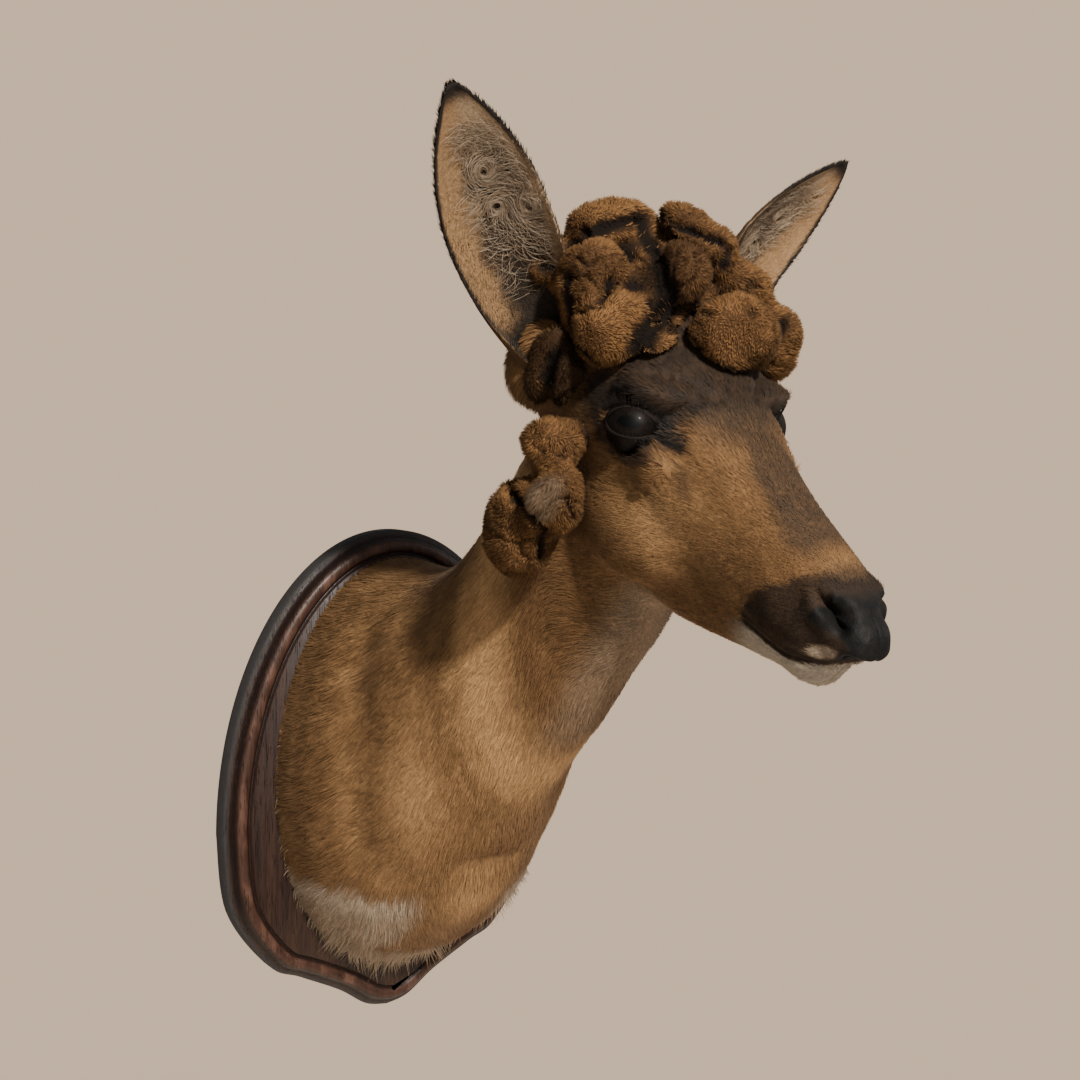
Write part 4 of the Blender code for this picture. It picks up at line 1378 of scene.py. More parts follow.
    def tuft(self, patch: Patch, roots: np.ndarray, normals: np.ndarray) -> bpy.types.Object:
        """Grow one part of the coat."""
        rng = np.random.default_rng(sum(map(ord, patch.value)))
        count = len(roots)
        local = HEAD.local(roots)
        reach = HEAD.reach(local)
        muzzle = ramp(local[:, 1], 0.050, 0.100)
        long = (0.0044 - 0.0017 * muzzle + 0.0040 * ramp(reach, -0.020, -0.110)
                + 0.0035 * ramp(roots[:, 1], -0.15, -0.06))
        masks = Markings.face(roots)
        long = long + masks["pale"] * 0.004 * ramp(reach, -0.10, -0.14)
        long = long * rng.uniform(0.75, 1.25, count)
        width = (0.00042 + 0.00030 * ramp(reach, 0.03, -0.11)) * rng.uniform(0.75, 1.3, count)
        lift = 0.18 + 0.03 * noise(roots, 0.012, 31) + rng.normal(0, 0.028, count)
        lift = lift + 0.10 * ramp(roots[:, 1], -0.050, -0.022)
        tips = raised_tips(roots, self.lay(roots, normals), normals, long, lift)
        lock = 0.0026 if patch in (Patch.FACE_RIGHT, Patch.FACE_LEFT) else 0.0042
        tips = clumped(tips, lock, 0.30, 91)
        base = roots - normals * 0.0004
        tone = np.clip(0.52 + layered(roots, 0.006, 5) * 0.26 + rng.normal(0, 0.19, count), 0, 1)
        uv = self.unwrap(patch, roots)
        masks["tone"] = tone
        del masks["bare"]
        return Tufts(np.stack((base, tips), axis=1), normals, width,
                     ground=normals).build(patch.value, uv, masks)


# ------------------------------------------------------------------ ears
@dataclass
class Ear:
    """One ear: a thin cupped leaf, short hair behind and pale curls inside."""

    side: int
    root: tuple = (0.0400, -0.0730, -0.0100)
    tips: tuple = ((0.1165, -0.0935, 0.0985), (0.1215, -0.0925, 0.1068))
    inner_width: float = 0.0248
    outer_width: float = 0.0243
    tube: float = 0.0120
    thick: float = 0.0022
    turn: float = math.radians(25.0)
    whorls: tuple = ((0.12, 0.665, -1, 0.0092), (0.16, 0.540, 1, 0.0074), (0.66, 0.50, -1, 0.0090))
    rows: int = 72
    columns: int = 33

    def frame_axes(self) -> tuple:
        """Return the ear's root, tip, open way and inner way."""
        root = HEAD.world(self.side * self.root[0], self.root[1], self.root[2])
        out, ahead, up = self.tips[self.side == RIGHT]
        tip = HEAD.world(self.side * out, ahead, up)
        along = unit(tip - root)
        facing = np.array((self.side * math.sin(self.turn), -math.cos(self.turn), 0.0))
        facing = unit(facing - along * (facing @ along))
        inward = np.cross(facing, along) * self.side
        return root, tip, facing, inward

    def half_width(self, s: np.ndarray, t: np.ndarray) -> np.ndarray:
        """Return the leaf's half width, which swells from the root and closes at the tip."""
        widest = np.where(s > 0, self.inner_width, self.outer_width)
        return widest * (t ** 0.8 * (1 - t) ** 0.85 / 0.319)

    def surface(self, s: np.ndarray, t: np.ndarray) -> tuple:
        """Return the leaf's middle surface and its normal, which points out of the cup.

        Args:
            s: Place across, -1 at the outer edge to 1 at the inner.
            t: Place along, 0 at the root to 1 at the tip.

        Returns:
            Places and normals.
        """
        root, tip, facing, inward = self.frame_axes()
        tube = self.tube * (1 - t) ** 2
        spread = np.radians(150 - 85 * np.minimum(1.0, t * 1.9) ** 0.8 - 18 * t)
        bow = 0.012 * np.sin(math.pi * t)
        half = np.hypot(self.half_width(s, t), tube)
        radius = half / np.sin(np.minimum(spread, math.pi / 2))
        angle = s * spread
        middle = root + t[:, None] * (tip - root) - facing * bow[:, None]
        place = middle + inward * (radius * np.sin(angle))[:, None]
        place = place + facing * (radius * (1 - np.cos(angle)) * 0.75)[:, None]
        normal = facing * np.cos(angle)[:, None] - inward * np.sin(angle)[:, None]
        return place, normal

    def thickness(self, s: np.ndarray, t: np.ndarray) -> np.ndarray:
        """Return the leaf's thickness."""
        return self.thick * (0.35 + 0.65 * (1 - s * s)) * (1 - 0.55 * t) + 0.0004

    def masks(self, s: np.ndarray, t: np.ndarray, inside: np.ndarray, places: np.ndarray) -> dict:
        """Return the ear's markings, with painted shade deep in the cup at its root."""
        wave = layered(places, 0.008, 23)
        from_edge = (1 - np.abs(s)) * np.maximum(self.half_width(s, t), 0.004)
        tip = ramp(t, 0.90, 0.965)
        rim = ramp(from_edge + wave * 0.0008, 0.0026, 0.0008) * ramp(t, 0.10, 0.30)
        rim = np.where(s > 0, rim * ramp(t, 0.50, 0.78), rim)
        core = inside * ramp(np.abs(s - 0.25) + wave * 0.25, 0.62, 0.25) * ramp(t, 0.86, 0.62)
        core = np.maximum(core, inside * np.exp(-((s - 0.16) / 0.24) ** 2 - ((t - 0.640) / 0.075) ** 2))
        # hole: painted shade deep in the cup at the ear's root
        hole = inside * ramp(t, 0.22, 0.10)
        back = (1 - inside) * ramp(np.abs(s) + wave * 0.15, 0.35, 0.95) * 0.45
        return {"dark": np.clip(np.maximum.reduce((tip, rim, core * 0.80, hole, back * 0.8)), 0, 1),
                "pale": np.clip(inside * (0.06 + 0.22 * ramp(s, -0.3, 0.4) * ramp(t, 0.30, 0.45)), 0, 1),
                "bright": inside * 0.25 * (1 - core),
                "grey": np.clip((1 - inside) * 0.35 + inside * core * 0.7, 0, 1),
                "bare": np.clip(inside * core * 0.35, 0, 1)}

    def leaf(self) -> bpy.types.Object:
        """Build the ear's skin as one closed leaf."""
        bm = bmesh.new()
        along = np.linspace(0.0, 0.992, self.rows)
        across = np.linspace(-1.0, 1.0, self.columns)
        s = np.concatenate((across, across[::-1]))
        inside = np.concatenate((np.ones(self.columns), np.zeros(self.columns)))
        rings, kept = [], []
        for t_value in along:
            t = np.full(len(s), t_value)
            place, normal = self.surface(s, t)
            half = self.thickness(s, t)[:, None] / 2
            place = place + normal * half * np.where(inside > 0, 1, -1)[:, None]
            kept.append(self.masks(s, t, inside, place))
            rings.append([bm.verts.new(Vector(p)) for p in place])
        for near, far in zip(rings, rings[1:]):
            bridge(bm, near, far)
        bm.faces.new(rings[0])
        bm.faces.new(rings[-1])
        bmesh.ops.recalc_face_normals(bm, faces=bm.faces)
        leaf = from_bmesh(f"ear_skin_{SIDE_WORDS[self.side]}", bm)
        for name in Markings.NAMES:
            store(leaf.data, name, np.concatenate([masks[name] for masks in kept]))
        store(leaf.data, "tone", np.full(len(leaf.data.vertices), 0.45))
        return leaf

    def hair(self) -> bpy.types.Object:
        """Grow the short hair on both faces of the ear."""
        rng = np.random.default_rng(40 + self.side)
        count = int(21000 * fullness())
        t = rng.beta(1.35, 1.25, count) * 0.985
        s = rng.uniform(-1, 1, count)
        inside = (rng.random(count) < 0.42).astype(float)
        place, normal = self.surface(s, t)
        step, _ = self.surface(s * 1.02, np.minimum(t + 0.01, 0.999))
        out = np.where(inside > 0, 1, -1)[:, None]
        normal = normal * out
        root = place + normal * (self.thickness(s, t)[:, None] / 2 - 0.0003)
        way = flatten(step - place + rng.normal(0, 0.00022, (count, 3)), normal)
        long = rng.uniform(0.0035, 0.0058, count) * (1 - 0.35 * t)
        lift = 0.22 + 0.10 * inside + rng.normal(0, 0.05, count)
        tips = clumped(raised_tips(root, way, normal, long, lift), 0.0026, 0.25, 57)
        masks = self.masks(s, t, inside, place)
        del masks["bare"]
        masks["tone"] = np.clip(0.5 + rng.normal(0, 0.2, count), 0, 1)
        uv = np.stack((0.25 + 0.23 * s + 0.5 * inside, 0.02 + 0.95 * t), axis=1)
        return Tufts(np.stack((root, tips), axis=1), normal,
                     rng.uniform(0.00046, 0.00070, count),
                     ground=normal).build(f"coat_ear_{SIDE_WORDS[self.side]}", uv, masks)

    def curls(self) -> bpy.types.Object:
        """Grow the pale hairs that swirl in whorls inside the cup."""
        rng = np.random.default_rng(60 + self.side)
        count, steps, stride = int(1650 * fullness()), 10, 0.0013
        s, t = rng.uniform(-0.24, 0.90, count), 0.20 + 0.66 * rng.beta(2.0, 1.6, count)
        s = s + 0.20 * (0.6 - t)
        swirled = rng.random(count) < 0.22
        home = np.array(self.whorls)[rng.integers(0, len(self.whorls), count)]
        s = np.where(swirled, home[:, 0] + rng.normal(0, 0.16, count), s)
        t = np.where(swirled, home[:, 1] + rng.normal(0, 0.040, count), t)
        place, normal = self.surface(s, t)
        ds = np.linalg.norm(self.surface(s + 0.02, t)[0] - place, axis=1) / 0.02
        dt = np.linalg.norm(self.surface(s, t + 0.01)[0] - place, axis=1) / 0.01
        height = rng.uniform(0.0001, 0.0012, count)
        stray = rng.normal(0, 0.62, count)
        path = []
        for k in range(steps + 1):
            point, out = self.surface(s, t)
            rise = self.thickness(s, t) / 2 + height + 0.0016 * math.sin(math.pi * k / steps)
            path.append(point + out * rise[:, None])
            angle = stray + 1.1 * noise(point, 0.016, 611) + 2.55
            across, up = np.cos(angle), np.sin(angle)
            for s0, t0, spin, size in self.whorls:
                right, above = (s - s0) * ds, (t - t0) * dt
                gap = np.hypot(right, above) + 1e-6
                pull = 2.4 * np.exp(-(gap / size) ** 2)
                drift = -0.55 * np.clip(gap / size, 0.0, 1.0)
                across = across + pull * (-above * spin + right * drift) / gap
                up = up + pull * (right * spin + above * drift) / gap
            length = np.hypot(across, up)
            s = np.clip(s + stride * across / length / ds, -0.90, 0.94)
            t = np.clip(t + stride * up / length / dt, 0.14, 0.92)
        zero = np.zeros(count)
        masks = {"dark": zero, "pale": rng.uniform(0.04, 0.60, count), "bright": zero,
                 "grey": rng.uniform(0.05, 0.55, count), "tone": rng.uniform(0.25, 0.9, count)}
        uv = np.stack((0.75 + 0.23 * s, 0.02 + 0.95 * t), axis=1)
        return Tufts(np.stack(path, axis=1), normal, rng.uniform(0.00010, 0.00018, count), 0.9,
                     ground=normal, blend=0.5).build(f"ear_curls_{SIDE_WORDS[self.side]}", uv, masks)


# ------------------------------------------------------------------ growth
@dataclass(frozen=True)
class Furrow:
    """A dark crusty furrow between lobes, along a line in the head frame."""

    path: tuple
    width: float
    depth: float


MAIN_FURROW = Furrow(((-0.0078, -0.0770, 0.0666), (-0.0103, -0.0673, 0.0607), (-0.0200, -0.0520, 0.0600),
                      (-0.0245, -0.0400, 0.0570), (-0.0216, -0.0283, 0.0488), (-0.0228, -0.0259, 0.0420),
                      (-0.0311, -0.0187, 0.0372), (-0.0354, -0.0142, 0.0280)), 0.0060, 0.0045)
FURROWS = {
    "growth_crown_right": (
        MAIN_FURROW,
        Furrow(((-0.0560, -0.0430, 0.0306), (-0.0547, -0.0374, 0.0389), (-0.0474, -0.0395, 0.0442),
                (-0.0400, -0.0431, 0.0487)), 0.0022, 0.0062),
        Furrow(((-0.0228, -0.0259, 0.0420), (-0.0146, -0.0246, 0.0397), (-0.0112, -0.0242, 0.0442),
                (-0.0007, -0.0280, 0.0473)), 0.0034, 0.0034),
        Furrow(((-0.0415, -0.0756, 0.0535), (-0.0333, -0.0712, 0.0596), (-0.0237, -0.0713, 0.0640),
                (-0.0078, -0.0770, 0.0666)), 0.0036, 0.0030),
        Furrow(((-0.0549, -0.0784, 0.0341), (-0.0501, -0.0749, 0.0380), (-0.0460, -0.0700, 0.0450),
                (-0.0428, -0.0733, 0.0506)), 0.0034, 0.0026),
        Furrow(((-0.0575, -0.0569, 0.0397), (-0.0540, -0.0540, 0.0295), (-0.0510, -0.0500, 0.0191),
                (-0.0574, -0.0296, 0.0150), (-0.0481, -0.0225, 0.0120)), 0.0030, 0.0010)),
    "growth_crown_left": (
        MAIN_FURROW,
        Furrow(((-0.0146, -0.0246, 0.0397), (-0.0112, -0.0242, 0.0442), (-0.0007, -0.0280, 0.0473),
                (0.0051, -0.0272, 0.0547), (0.0150, -0.0380, 0.0600), (0.0160, -0.0440, 0.0660)),
               0.0032, 0.0028),
        Furrow(((-0.0105, -0.0646, 0.0636), (-0.0077, -0.0584, 0.0687), (0.0015, -0.0527, 0.0710),
                (0.0100, -0.0478, 0.0708), (0.0160, -0.0440, 0.0660)), 0.0028, 0.0024),
        Furrow(((0.0365, -0.0128, 0.0244), (0.0340, -0.0093, 0.0355), (0.0390, -0.0134, 0.0403),
                (0.0428, -0.0185, 0.0465)), 0.0026, 0.0030)),
    "growth_cheek_right": (
        Furrow(((-0.0700, -0.0330, -0.0500), (-0.0720, -0.0188, -0.0512), (-0.0767, -0.0003, -0.0490),
                (-0.0720, 0.0085, -0.0545), (-0.0620, 0.0060, -0.0640), (-0.0538, 0.0020, -0.0760)),
               0.0030, 0.0052),
        Furrow(((-0.0693, -0.0147, -0.0247), (-0.0583, -0.0098, -0.0214)), 0.0014, 0.0026),
        Furrow(((-0.0669, 0.0058, -0.0255), (-0.0644, 0.0111, -0.0340), (-0.0560, 0.0120, -0.0440)),
               0.0012, 0.0022)),
    "growth_temple_right": (
        Furrow(((-0.0560, -0.0480, 0.0150), (-0.0560, -0.0470, -0.0250)), 0.0040, 0.0030),)}
# both ends and the thickness of each stalk between the cheek and its hanging lobes
STALKS = (((-0.0580, -0.0230, -0.0270), (-0.0370, -0.0260, -0.0230), 0.0105),
          ((-0.0600, -0.0200, -0.0600), (-0.0390, -0.0190, -0.0540), 0.0115))


@dataclass
class Growth:
    """One cluster of the velvet growth."""

    node: str
    voxel: float = 0.0016
    plush: float = 0.0025
    per_area: float = 2.1e6

    def flesh(self, skin: BVHTree) -> bpy.types.Object:
        """Build the cluster's surface under the plush, with its folds.

        Args:
            skin: The skin's surface, near which the velvet's roots get painted shade.

        Returns:
            The surface.
        """
        lobes = merged_nodes([self.node], 0.0)
        cheek = "cheek" in self.node
        if cheek:
            self.root_stalks(lobes)
        item = remeshed(lobes, self.voxel)
        mesh = item.data
        edges = edge_pairs(mesh)
        points = coordinates(mesh)
        points = relax(points, edges, 4, np.full(len(points), 0.5))
        set_coordinates(mesh, points)
        normals = unit(relax(vertex_normals(mesh), edges, 3, np.full(len(points), 0.5)))
        broad = noise(points, 0.017, 301) * 0.0024 + noise(points, 0.0085, 304) * 0.0012
        broad += noise(points, 0.0045, 305) * 0.0005
        crease = 1 - np.abs(noise(points, 0.022, 307) + 0.35 * noise(points, 0.009, 308))
        height = broad * 0.8 - ramp(crease, 0.90, 0.995) * 0.0022 - self.plush * 0.75
        local = HEAD.local(points)
        cut = np.zeros(len(points))
        for furrow in FURROWS[self.node]:
            gap = line_gap(local, furrow.path) + 0.0012 * noise(points, 0.005, 333)
            cut = np.maximum(cut, ramp(gap, furrow.width * 1.5, furrow.width * 0.6))
            height -= np.exp(-(gap / furrow.width) ** 2) * furrow.depth
        height += cut * layered(points, 0.0040, 341) * 0.0009
        points = points + normals * height[:, None]
        set_coordinates(mesh, points)
        smooth = relax(points, edges, 30, np.full(len(points), 0.5))
        recess_shade = np.sum((smooth - points) * normals, axis=1)
        # painted shade: the hollows, the creases, the parts near the skin and the temple's whole cluster
        # are darkened; less of the cheek's cluster is dark, as it hangs clear of the skin
        near, shallow, deep, creased = 0.0065, 0.0003, 0.0018, 0.6
        if cheek:
            near, shallow, deep, creased = 0.0030, 0.0011, 0.0040, 0.15
        shaded = np.full(len(points), 0.55 if "temple" in self.node else 0.0)
        rooted = np.array([skin.find_nearest(Vector(place))[3] for place in points])
        rooted = ramp(rooted + noise(points, 0.008, 311) * 0.002, near, 0.0008)
        crust_and_shade = np.maximum.reduce((ramp(recess_shade, shallow, deep), ramp(crease, 0.94, 0.995) * creased,
                                     cut, rooted * 0.9, shaded))
        store(mesh, "crust_and_shade", crust_and_shade)
        store(mesh, "grizzle", self.grizzle(points))
        store(mesh, "tone", np.full(len(points), 0.12))
        item.name = self.node.replace("growth", "velvet")
        mesh.shade_smooth()
        return item

    @staticmethod
    def root_stalks(lobes: bpy.types.Object) -> None:
        """Join the hanging lobes to the cheek by short thick stalks, which grow from the skin."""
        bm = bmesh.new()
        bm.from_mesh(lobes.data)
        for near, far, size in STALKS:
            for share in (0.0, 0.25, 0.5, 0.75, 1.0):
                place = HEAD.world(*(np.array(near) * (1 - share) + np.array(far) * share))
                bmesh.ops.create_icosphere(bm, subdivisions=2, radius=size,
                                           matrix=Matrix.Translation(Vector(place)))
        bm.to_mesh(lobes.data)
        bm.free()

    @staticmethod
    def grizzle(points: np.ndarray) -> np.ndarray:
        """Return where the velvet turns to coarse grey-brown hair."""
        local = HEAD.local(points)
        gap = (local - np.array((-0.078, 0.004, -0.036))) / np.array((0.014, 0.011, 0.016))
        return ramp(np.exp(-np.sum(gap ** 2, axis=1)), 0.25, 0.6)

    @staticmethod
    def rusty(points: np.ndarray) -> np.ndarray:
        """Return where the plush is darkest, on the middle lobe and the upper near one."""
        local = HEAD.local(points)
        middle = np.linalg.norm(local - np.array((-0.008, -0.036, 0.056)), axis=1)
        upper = np.linalg.norm(local - np.array((-0.048, -0.050, 0.050)), axis=1)
        return np.maximum(ramp(middle, 0.028, 0.010), ramp(upper, 0.018, 0.006) * 0.8)

    def velvet(self, flesh: bpy.types.Object) -> bpy.types.Object:
        """Grow the plush on the cluster."""
        ground = Ground.of(flesh)
        crust_and_shade = np.empty(len(ground.points), np.float32)
        flesh.data.attributes["crust_and_shade"].data.foreach_get("value", crust_and_shade)
        seed = sum(map(ord, self.node))
        rng = np.random.default_rng(seed)
        roots, normals = ground.scatter(self.per_area * fullness(), 1 - 0.85 * crust_and_shade, seed)
        count = len(roots)
        # deep carries the crust and the painted shade of the flesh, which darken the plush's tone and
        # colour there
        deep = self.nearest(ground, roots, crust_and_shade)
        grizzle = self.grizzle(roots)
        swirl = np.stack([noise(roots, 0.013, 400 + k) for k in range(3)], axis=1)
        way = flatten(swirl + np.array((0.0, 0.0, -0.35)), normals)
        long = self.plush * rng.uniform(0.75, 1.15, count) * (1 + 0.9 * grizzle) * (1 - 0.35 * deep)
        lift = rng.normal(0.92, 0.12, count) - 0.45 * grizzle
        tips = clumped(raised_tips(roots, way, normals, long, lift), 0.0016, 0.30, 77)
        tone = 0.50 + noise(roots, 0.024, 9) * 0.34 + noise(roots, 0.006, 10) * 0.16
        tone = tone - 0.45 * self.rusty(roots)
        tone = np.clip(tone + rng.normal(0, 0.21, count) - deep * 0.5, 0, 1)
        middle = roots.mean(axis=0)
        ways = unit(roots - middle)
        uv = np.stack((np.arctan2(ways[:, 0], -ways[:, 1]) / (2 * math.pi) + 0.5,
                       np.arccos(np.clip(ways[:, 2], -1, 1)) / math.pi), axis=1)
        masks = {"tone": tone, "crust_and_shade": deep * 0.92, "grizzle": grizzle}
        base = roots - normals * 0.0004
        name = self.node.replace("growth", "plush")
        return Tufts(np.stack((base, tips), axis=1), np.cross(normals, way),
                     rng.uniform(0.00038, 0.00060, count), 0.8,
                     ground=normals, blend=0.45).build(name, uv, masks)

    @staticmethod
    def nearest(ground: Ground, roots: np.ndarray, values: np.ndarray) -> np.ndarray:
        """Return the ground's value nearest to each root, by a grid of small cells."""
        size = 0.0024
        low = ground.points.min(axis=0)
        span = np.ceil((ground.points.max(axis=0) - low) / size).astype(np.int64) + 2

        def key(points: np.ndarray) -> np.ndarray:
            """Return each point's cell number."""
            cell = np.clip(np.floor((points - low) / size).astype(np.int64), 0, span - 1)
            return (cell[:, 0] * span[1] + cell[:, 1]) * span[2] + cell[:, 2]

        total = int(np.prod(span))
        spots = key(ground.points)
        count = np.bincount(spots, minlength=total)
        summed = np.bincount(spots, values, minlength=total)
        mean = summed / np.maximum(count, 1)
        return mean[key(roots)]


# ------------------------------------------------------------------ board
@dataclass
class Board:
    """The shaped wall board with its moulded edge."""

    widest_z: float = -0.027
    samples: int = 60
    lower_edge: tuple = ((0.1105, -0.027), (0.1045, -0.074), (0.0800, -0.1100), (0.0600, -0.1205),
                         (0.0335, -0.1340), (0.0150, -0.1465), (0.0000, -0.1500))
    profile: tuple = ((0.0000, 0.0000), (0.0000, 0.0085), (0.0012, 0.0099), (0.0030, 0.0106),
                      (0.0042, 0.0118), (0.0048, 0.0134), (0.0052, 0.0148), (0.0060, 0.0162),
                      (0.0074, 0.0172), (0.0094, 0.0177), (0.0112, 0.0174), (0.0122, 0.0168),
                      (0.0128, 0.0159), (0.0134, 0.0157), (0.0140, 0.0160), (0.0146, 0.0174),
                      (0.0152, 0.0180))

    def outline(self) -> list:
        """Return the outline's points, from the top round by the buck's left."""
        _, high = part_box("board")
        half_width, top = high.x, high.z
        rise = top - self.widest_z
        half = []
        for i in range(self.samples):
            angle = math.pi / 2 * (1 - i / self.samples)
            half.append((half_width * math.cos(angle), self.widest_z + rise * math.sin(angle)))
        knots = self.lower_edge
        last = len(knots) - 1
        for i in range(last * 10 + 1):
            index = min(i // 10, last - 1)
            t = i / 10 - index
            a, b = knots[max(index - 1, 0)], knots[index]
            c, d = knots[index + 1], knots[min(index + 2, last)]
            half.append(tuple(0.5 * (2 * q + (r - p) * t + (2 * p - 5 * q + 4 * r - s) * t ** 2
                                     + (3 * q - p - 3 * r + s) * t ** 3)
                              for p, q, r, s in zip(a, b, c, d)))
        return half + [(-x, z) for x, z in half[-2:0:-1]]

    def build(self) -> bpy.types.Object:
        """Build the board from rings that step in along the moulding."""
        bm = bmesh.new()
        ring = np.array(self.outline())
        rings, insets = [], []
        for (inset, height), (before, _) in zip(self.profile, ((0.0, 0.0), *self.profile)):
            pieces = max(1, round((inset - before) / 0.0005))
            for _ in range(pieces if inset > before else 0):
                chord = np.roll(ring, -1, axis=0) - np.roll(ring, 1, axis=0)
                inward = unit(np.stack((chord[:, 1], -chord[:, 0]), axis=1))
                ring = ring + inward * (inset - before) / pieces
                ring = ring + (np.roll(ring, -1, axis=0) + np.roll(ring, 1, axis=0) - 2 * ring) * 0.06
            rings.append([bm.verts.new((x, -height, z)) for x, z in ring])
            insets += [inset] * len(ring)
        for near, far in zip(rings, rings[1:]):
            bridge(bm, near, far)
        bm.faces.new(rings[0])
        bm.faces.new(rings[-1])
        bmesh.ops.recalc_face_normals(bm, faces=bm.faces)
        board = from_bmesh("wall_board", bm)
        inset = np.array(insets)
        depth = -coordinates(board.data)[:, 1]
        store(board.data, "edge", ramp(inset, 0.0034, 0.0020))
        store(board.data, "bead", ramp(inset, 0.0056, 0.0070) * ramp(inset, 0.0128, 0.0118))
        # painted shade in the cove before the bead and in the groove after it
        recess_shade = np.maximum(ramp(depth, 0.0172, 0.0160) * ramp(inset, 0.0118, 0.0126),
                            ramp(inset, 0.0032, 0.0040) * ramp(inset, 0.0060, 0.0052))
        store(board.data, "recess_shade", recess_shade * ramp(inset, 0.0151, 0.0147))
        board.data.set_sharp_from_angle(angle=math.radians(50))
        return board


# ------------------------------------------------------------------ stage
@dataclass(frozen=True)
class Lamp:
    """A square lamp that faces the buck."""

    name: str
    place: tuple
    size: float
    watts: float
    colour: tuple = (1.0, 0.96, 0.90)


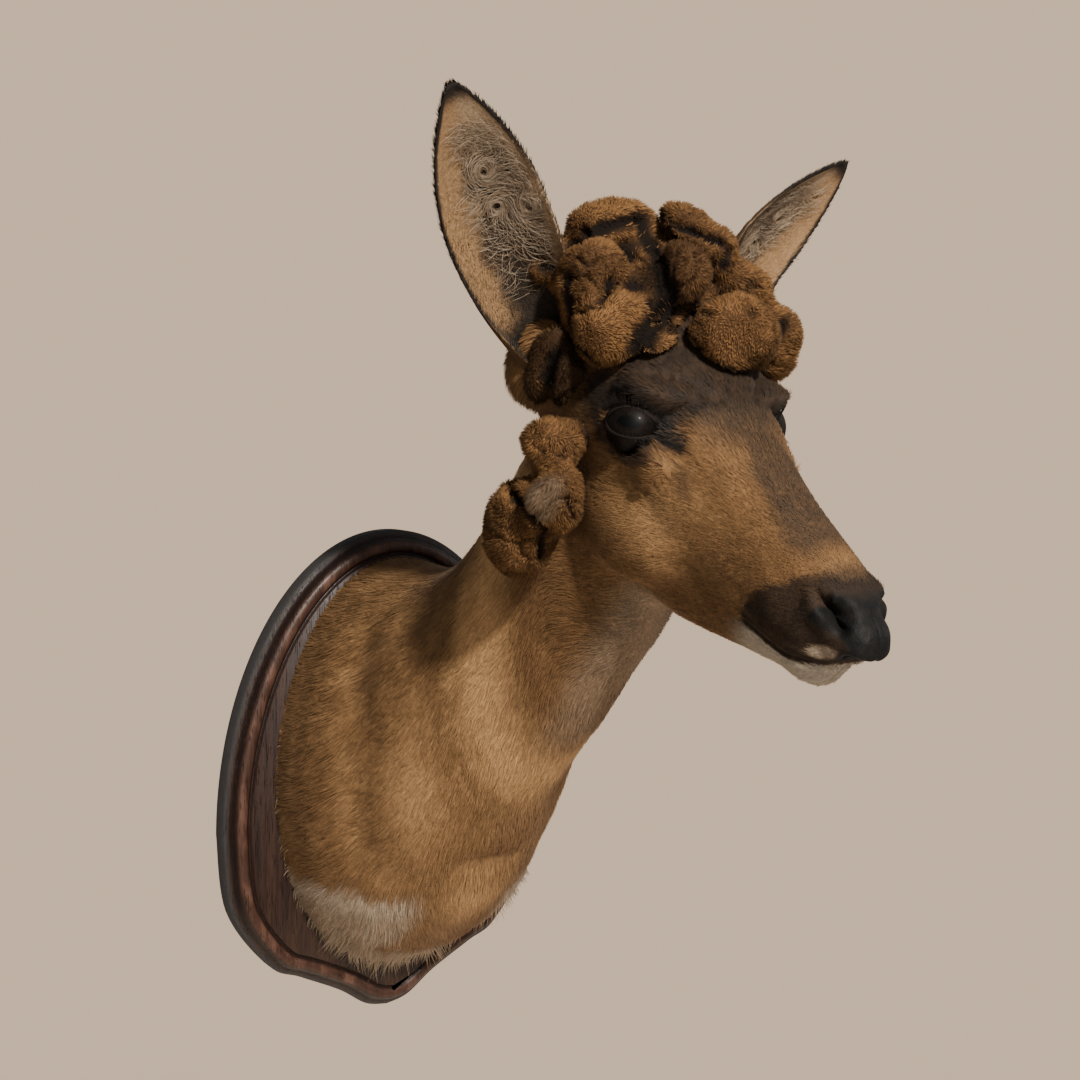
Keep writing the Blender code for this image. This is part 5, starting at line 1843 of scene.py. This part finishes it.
@dataclass
class Studio:
    """Camera, pale floor and soft light."""

    place: tuple = (-0.4473, -0.815, 0.2256)
    heading: float = 0.6054
    pitch: float = -0.0871
    roll: float = 0.0192
    lens: float = 50.0
    backdrop: tuple = (0.82, 0.61, 0.435)
    paper: tuple = (0.96, 0.82, 0.68)
    surround: tuple = (0.66, 0.66, 0.67)
    ambient: float = 0.38
    target: tuple = (0.0, -0.2, 0.1)
    lamps: tuple = (Lamp("key", (-0.60, -2.65, 1.76), 0.20, 236.0, (1.0, 0.95, 0.87)),
                    Lamp("fill", (-1.5, -2.4, 0.0), 1.6, 20.0), Lamp("far", (2.4, -0.9, 0.9), 1.6, 14.0),
                    Lamp("back", (1.7, 1.9, 0.2), 1.6, 7.0))

    def camera(self) -> None:
        """Place the camera."""
        data = bpy.data.cameras.new("camera")
        data.lens = self.lens
        data.sensor_width = 36.0
        item = bpy.data.objects.new("camera", data)
        ahead = Vector((math.sin(self.heading) * math.cos(self.pitch),
                        math.cos(self.heading) * math.cos(self.pitch), math.sin(self.pitch)))
        right = Vector((math.cos(self.heading), -math.sin(self.heading), 0.0))
        up = right.cross(ahead)
        tilt = Matrix.Rotation(-self.roll, 3, ahead)
        right, up = tilt @ right, tilt @ up
        turn = Matrix((right, up, -ahead)).transposed().to_4x4()
        item.matrix_world = Matrix.Translation(self.place) @ turn
        bpy.context.scene.collection.objects.link(item)
        bpy.context.scene.camera = item

    def floor(self) -> None:
        """Lay a pale floor that fades into the backdrop."""
        bm = bmesh.new()
        bmesh.ops.create_circle(bm, cap_ends=True, segments=96, radius=7.0)
        bmesh.ops.translate(bm, vec=(0.0, 0.0, -1.1), verts=bm.verts)
        floor = from_bmesh("floor", bm)
        bench = Bench("floor_paper", 0.9)
        bench.colour((*self.paper, 1.0))
        place = bench.stretched((1.0, 1.0, 0.0))
        far = bench.add("ShaderNodeVectorMath", {"operation": "LENGTH"}, {0: place})
        fade = Term(bench, far.outputs["Value"]).step(0.8, 2.1)
        clear = bench.add("ShaderNodeBsdfTransparent", {}, {})
        mix = bench.add("ShaderNodeMixShader", {}, {0: fade, 1: bench.shader.outputs[0],
                                                    2: clear.outputs[0]})
        out = bench.tree.nodes["Material Output"]
        bench.feed(out.inputs["Surface"], mix.outputs[0])
        floor.data.materials.append(bench.material)

    def light(self) -> None:
        """Hang the lamps, and light by an even surround that the camera sees as the backdrop."""
        world = bpy.data.worlds.new("surround")
        world.use_nodes = True
        nodes, links = world.node_tree.nodes, world.node_tree.links
        back = nodes["Background"]
        seen = nodes.new("ShaderNodeLightPath").outputs["Is Camera Ray"]
        tint = nodes.new("ShaderNodeMix")
        tint.data_type = "RGBA"
        tint.inputs[MIX_LOW].default_value = (*self.surround, 1.0)
        tint.inputs[MIX_HIGH].default_value = (*self.backdrop, 1.0)
        shown = nodes.new("ShaderNodeMapRange")
        shown.inputs["To Min"].default_value = self.ambient
        links.new(seen, tint.inputs[0])
        links.new(seen, shown.inputs["Value"])
        links.new(tint.outputs[MIX_RESULT], back.inputs["Color"])
        links.new(shown.outputs[0], back.inputs["Strength"])
        bpy.context.scene.world = world
        for lamp in self.lamps:
            data = bpy.data.lights.new(lamp.name, "AREA")
            data.size = lamp.size
            data.energy = lamp.watts
            data.color = lamp.colour
            item = bpy.data.objects.new(lamp.name, data)
            aim = Vector(self.target) - Vector(lamp.place)
            item.location = lamp.place
            item.rotation_mode = "QUATERNION"
            item.rotation_quaternion = aim.to_track_quat("-Z", "Y")
            bpy.context.scene.collection.objects.link(item)


# ------------------------------------------------------------------ assembly
def dress(piece: bpy.types.Object, material: bpy.types.Material) -> None:
    """Give a piece its material and slot and let it ride on the mount."""
    piece.data.materials.clear()
    piece.data.materials.append(material)
    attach(piece, BODY)
    LOG.info("dressed %s", piece.name)


def main() -> None:
    """Build the mount in order."""
    logging.basicConfig(level=logging.INFO, format="%(name)s: %(message)s")
    studio = Studio()
    studio.camera()
    studio.floor()
    studio.light()
    hair, hide, eye_glass = CoatFinish().material(), SkinFinish().material(), EyeFinish().material()
    skin = Skin().build()
    dress(skin, hide)
    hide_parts(*Skin.nodes)
    tree = BVHTree.FromObject(skin, bpy.context.evaluated_depsgraph_get())
    for side, word in SIDE_WORDS.items():
        lids = Lids(side)
        eye = lids.eyeball()
        dress(eye, eye_glass)
        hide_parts(f"eye_{word}")
        dress(lids.ring(tree), hide)
        dress(lids.lashes(), hair)
        ear = Ear(side)
        leaf = ear.leaf()
        dress(leaf, hide)
        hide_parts(f"ear_{word}")
        dress(ear.hair(), hair)
        dress(ear.curls(), hair)
    for piece in Coat(Ground.of(skin)).build():
        dress(piece, hair)
    velvet = VelvetFinish()
    under, plush = velvet.material("velvet_floor", True), velvet.material("velvet", False)
    for node in ("growth_crown_right", "growth_crown_left", "growth_temple_right", "growth_cheek_right"):
        growth = Growth(node)
        flesh = growth.flesh(tree)
        dress(flesh, under)
        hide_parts(node)
        dress(growth.velvet(flesh), plush)
    board = Board().build()
    dress(board, WoodFinish().material())
    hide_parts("board")


if __name__ == "__main__":
    main()
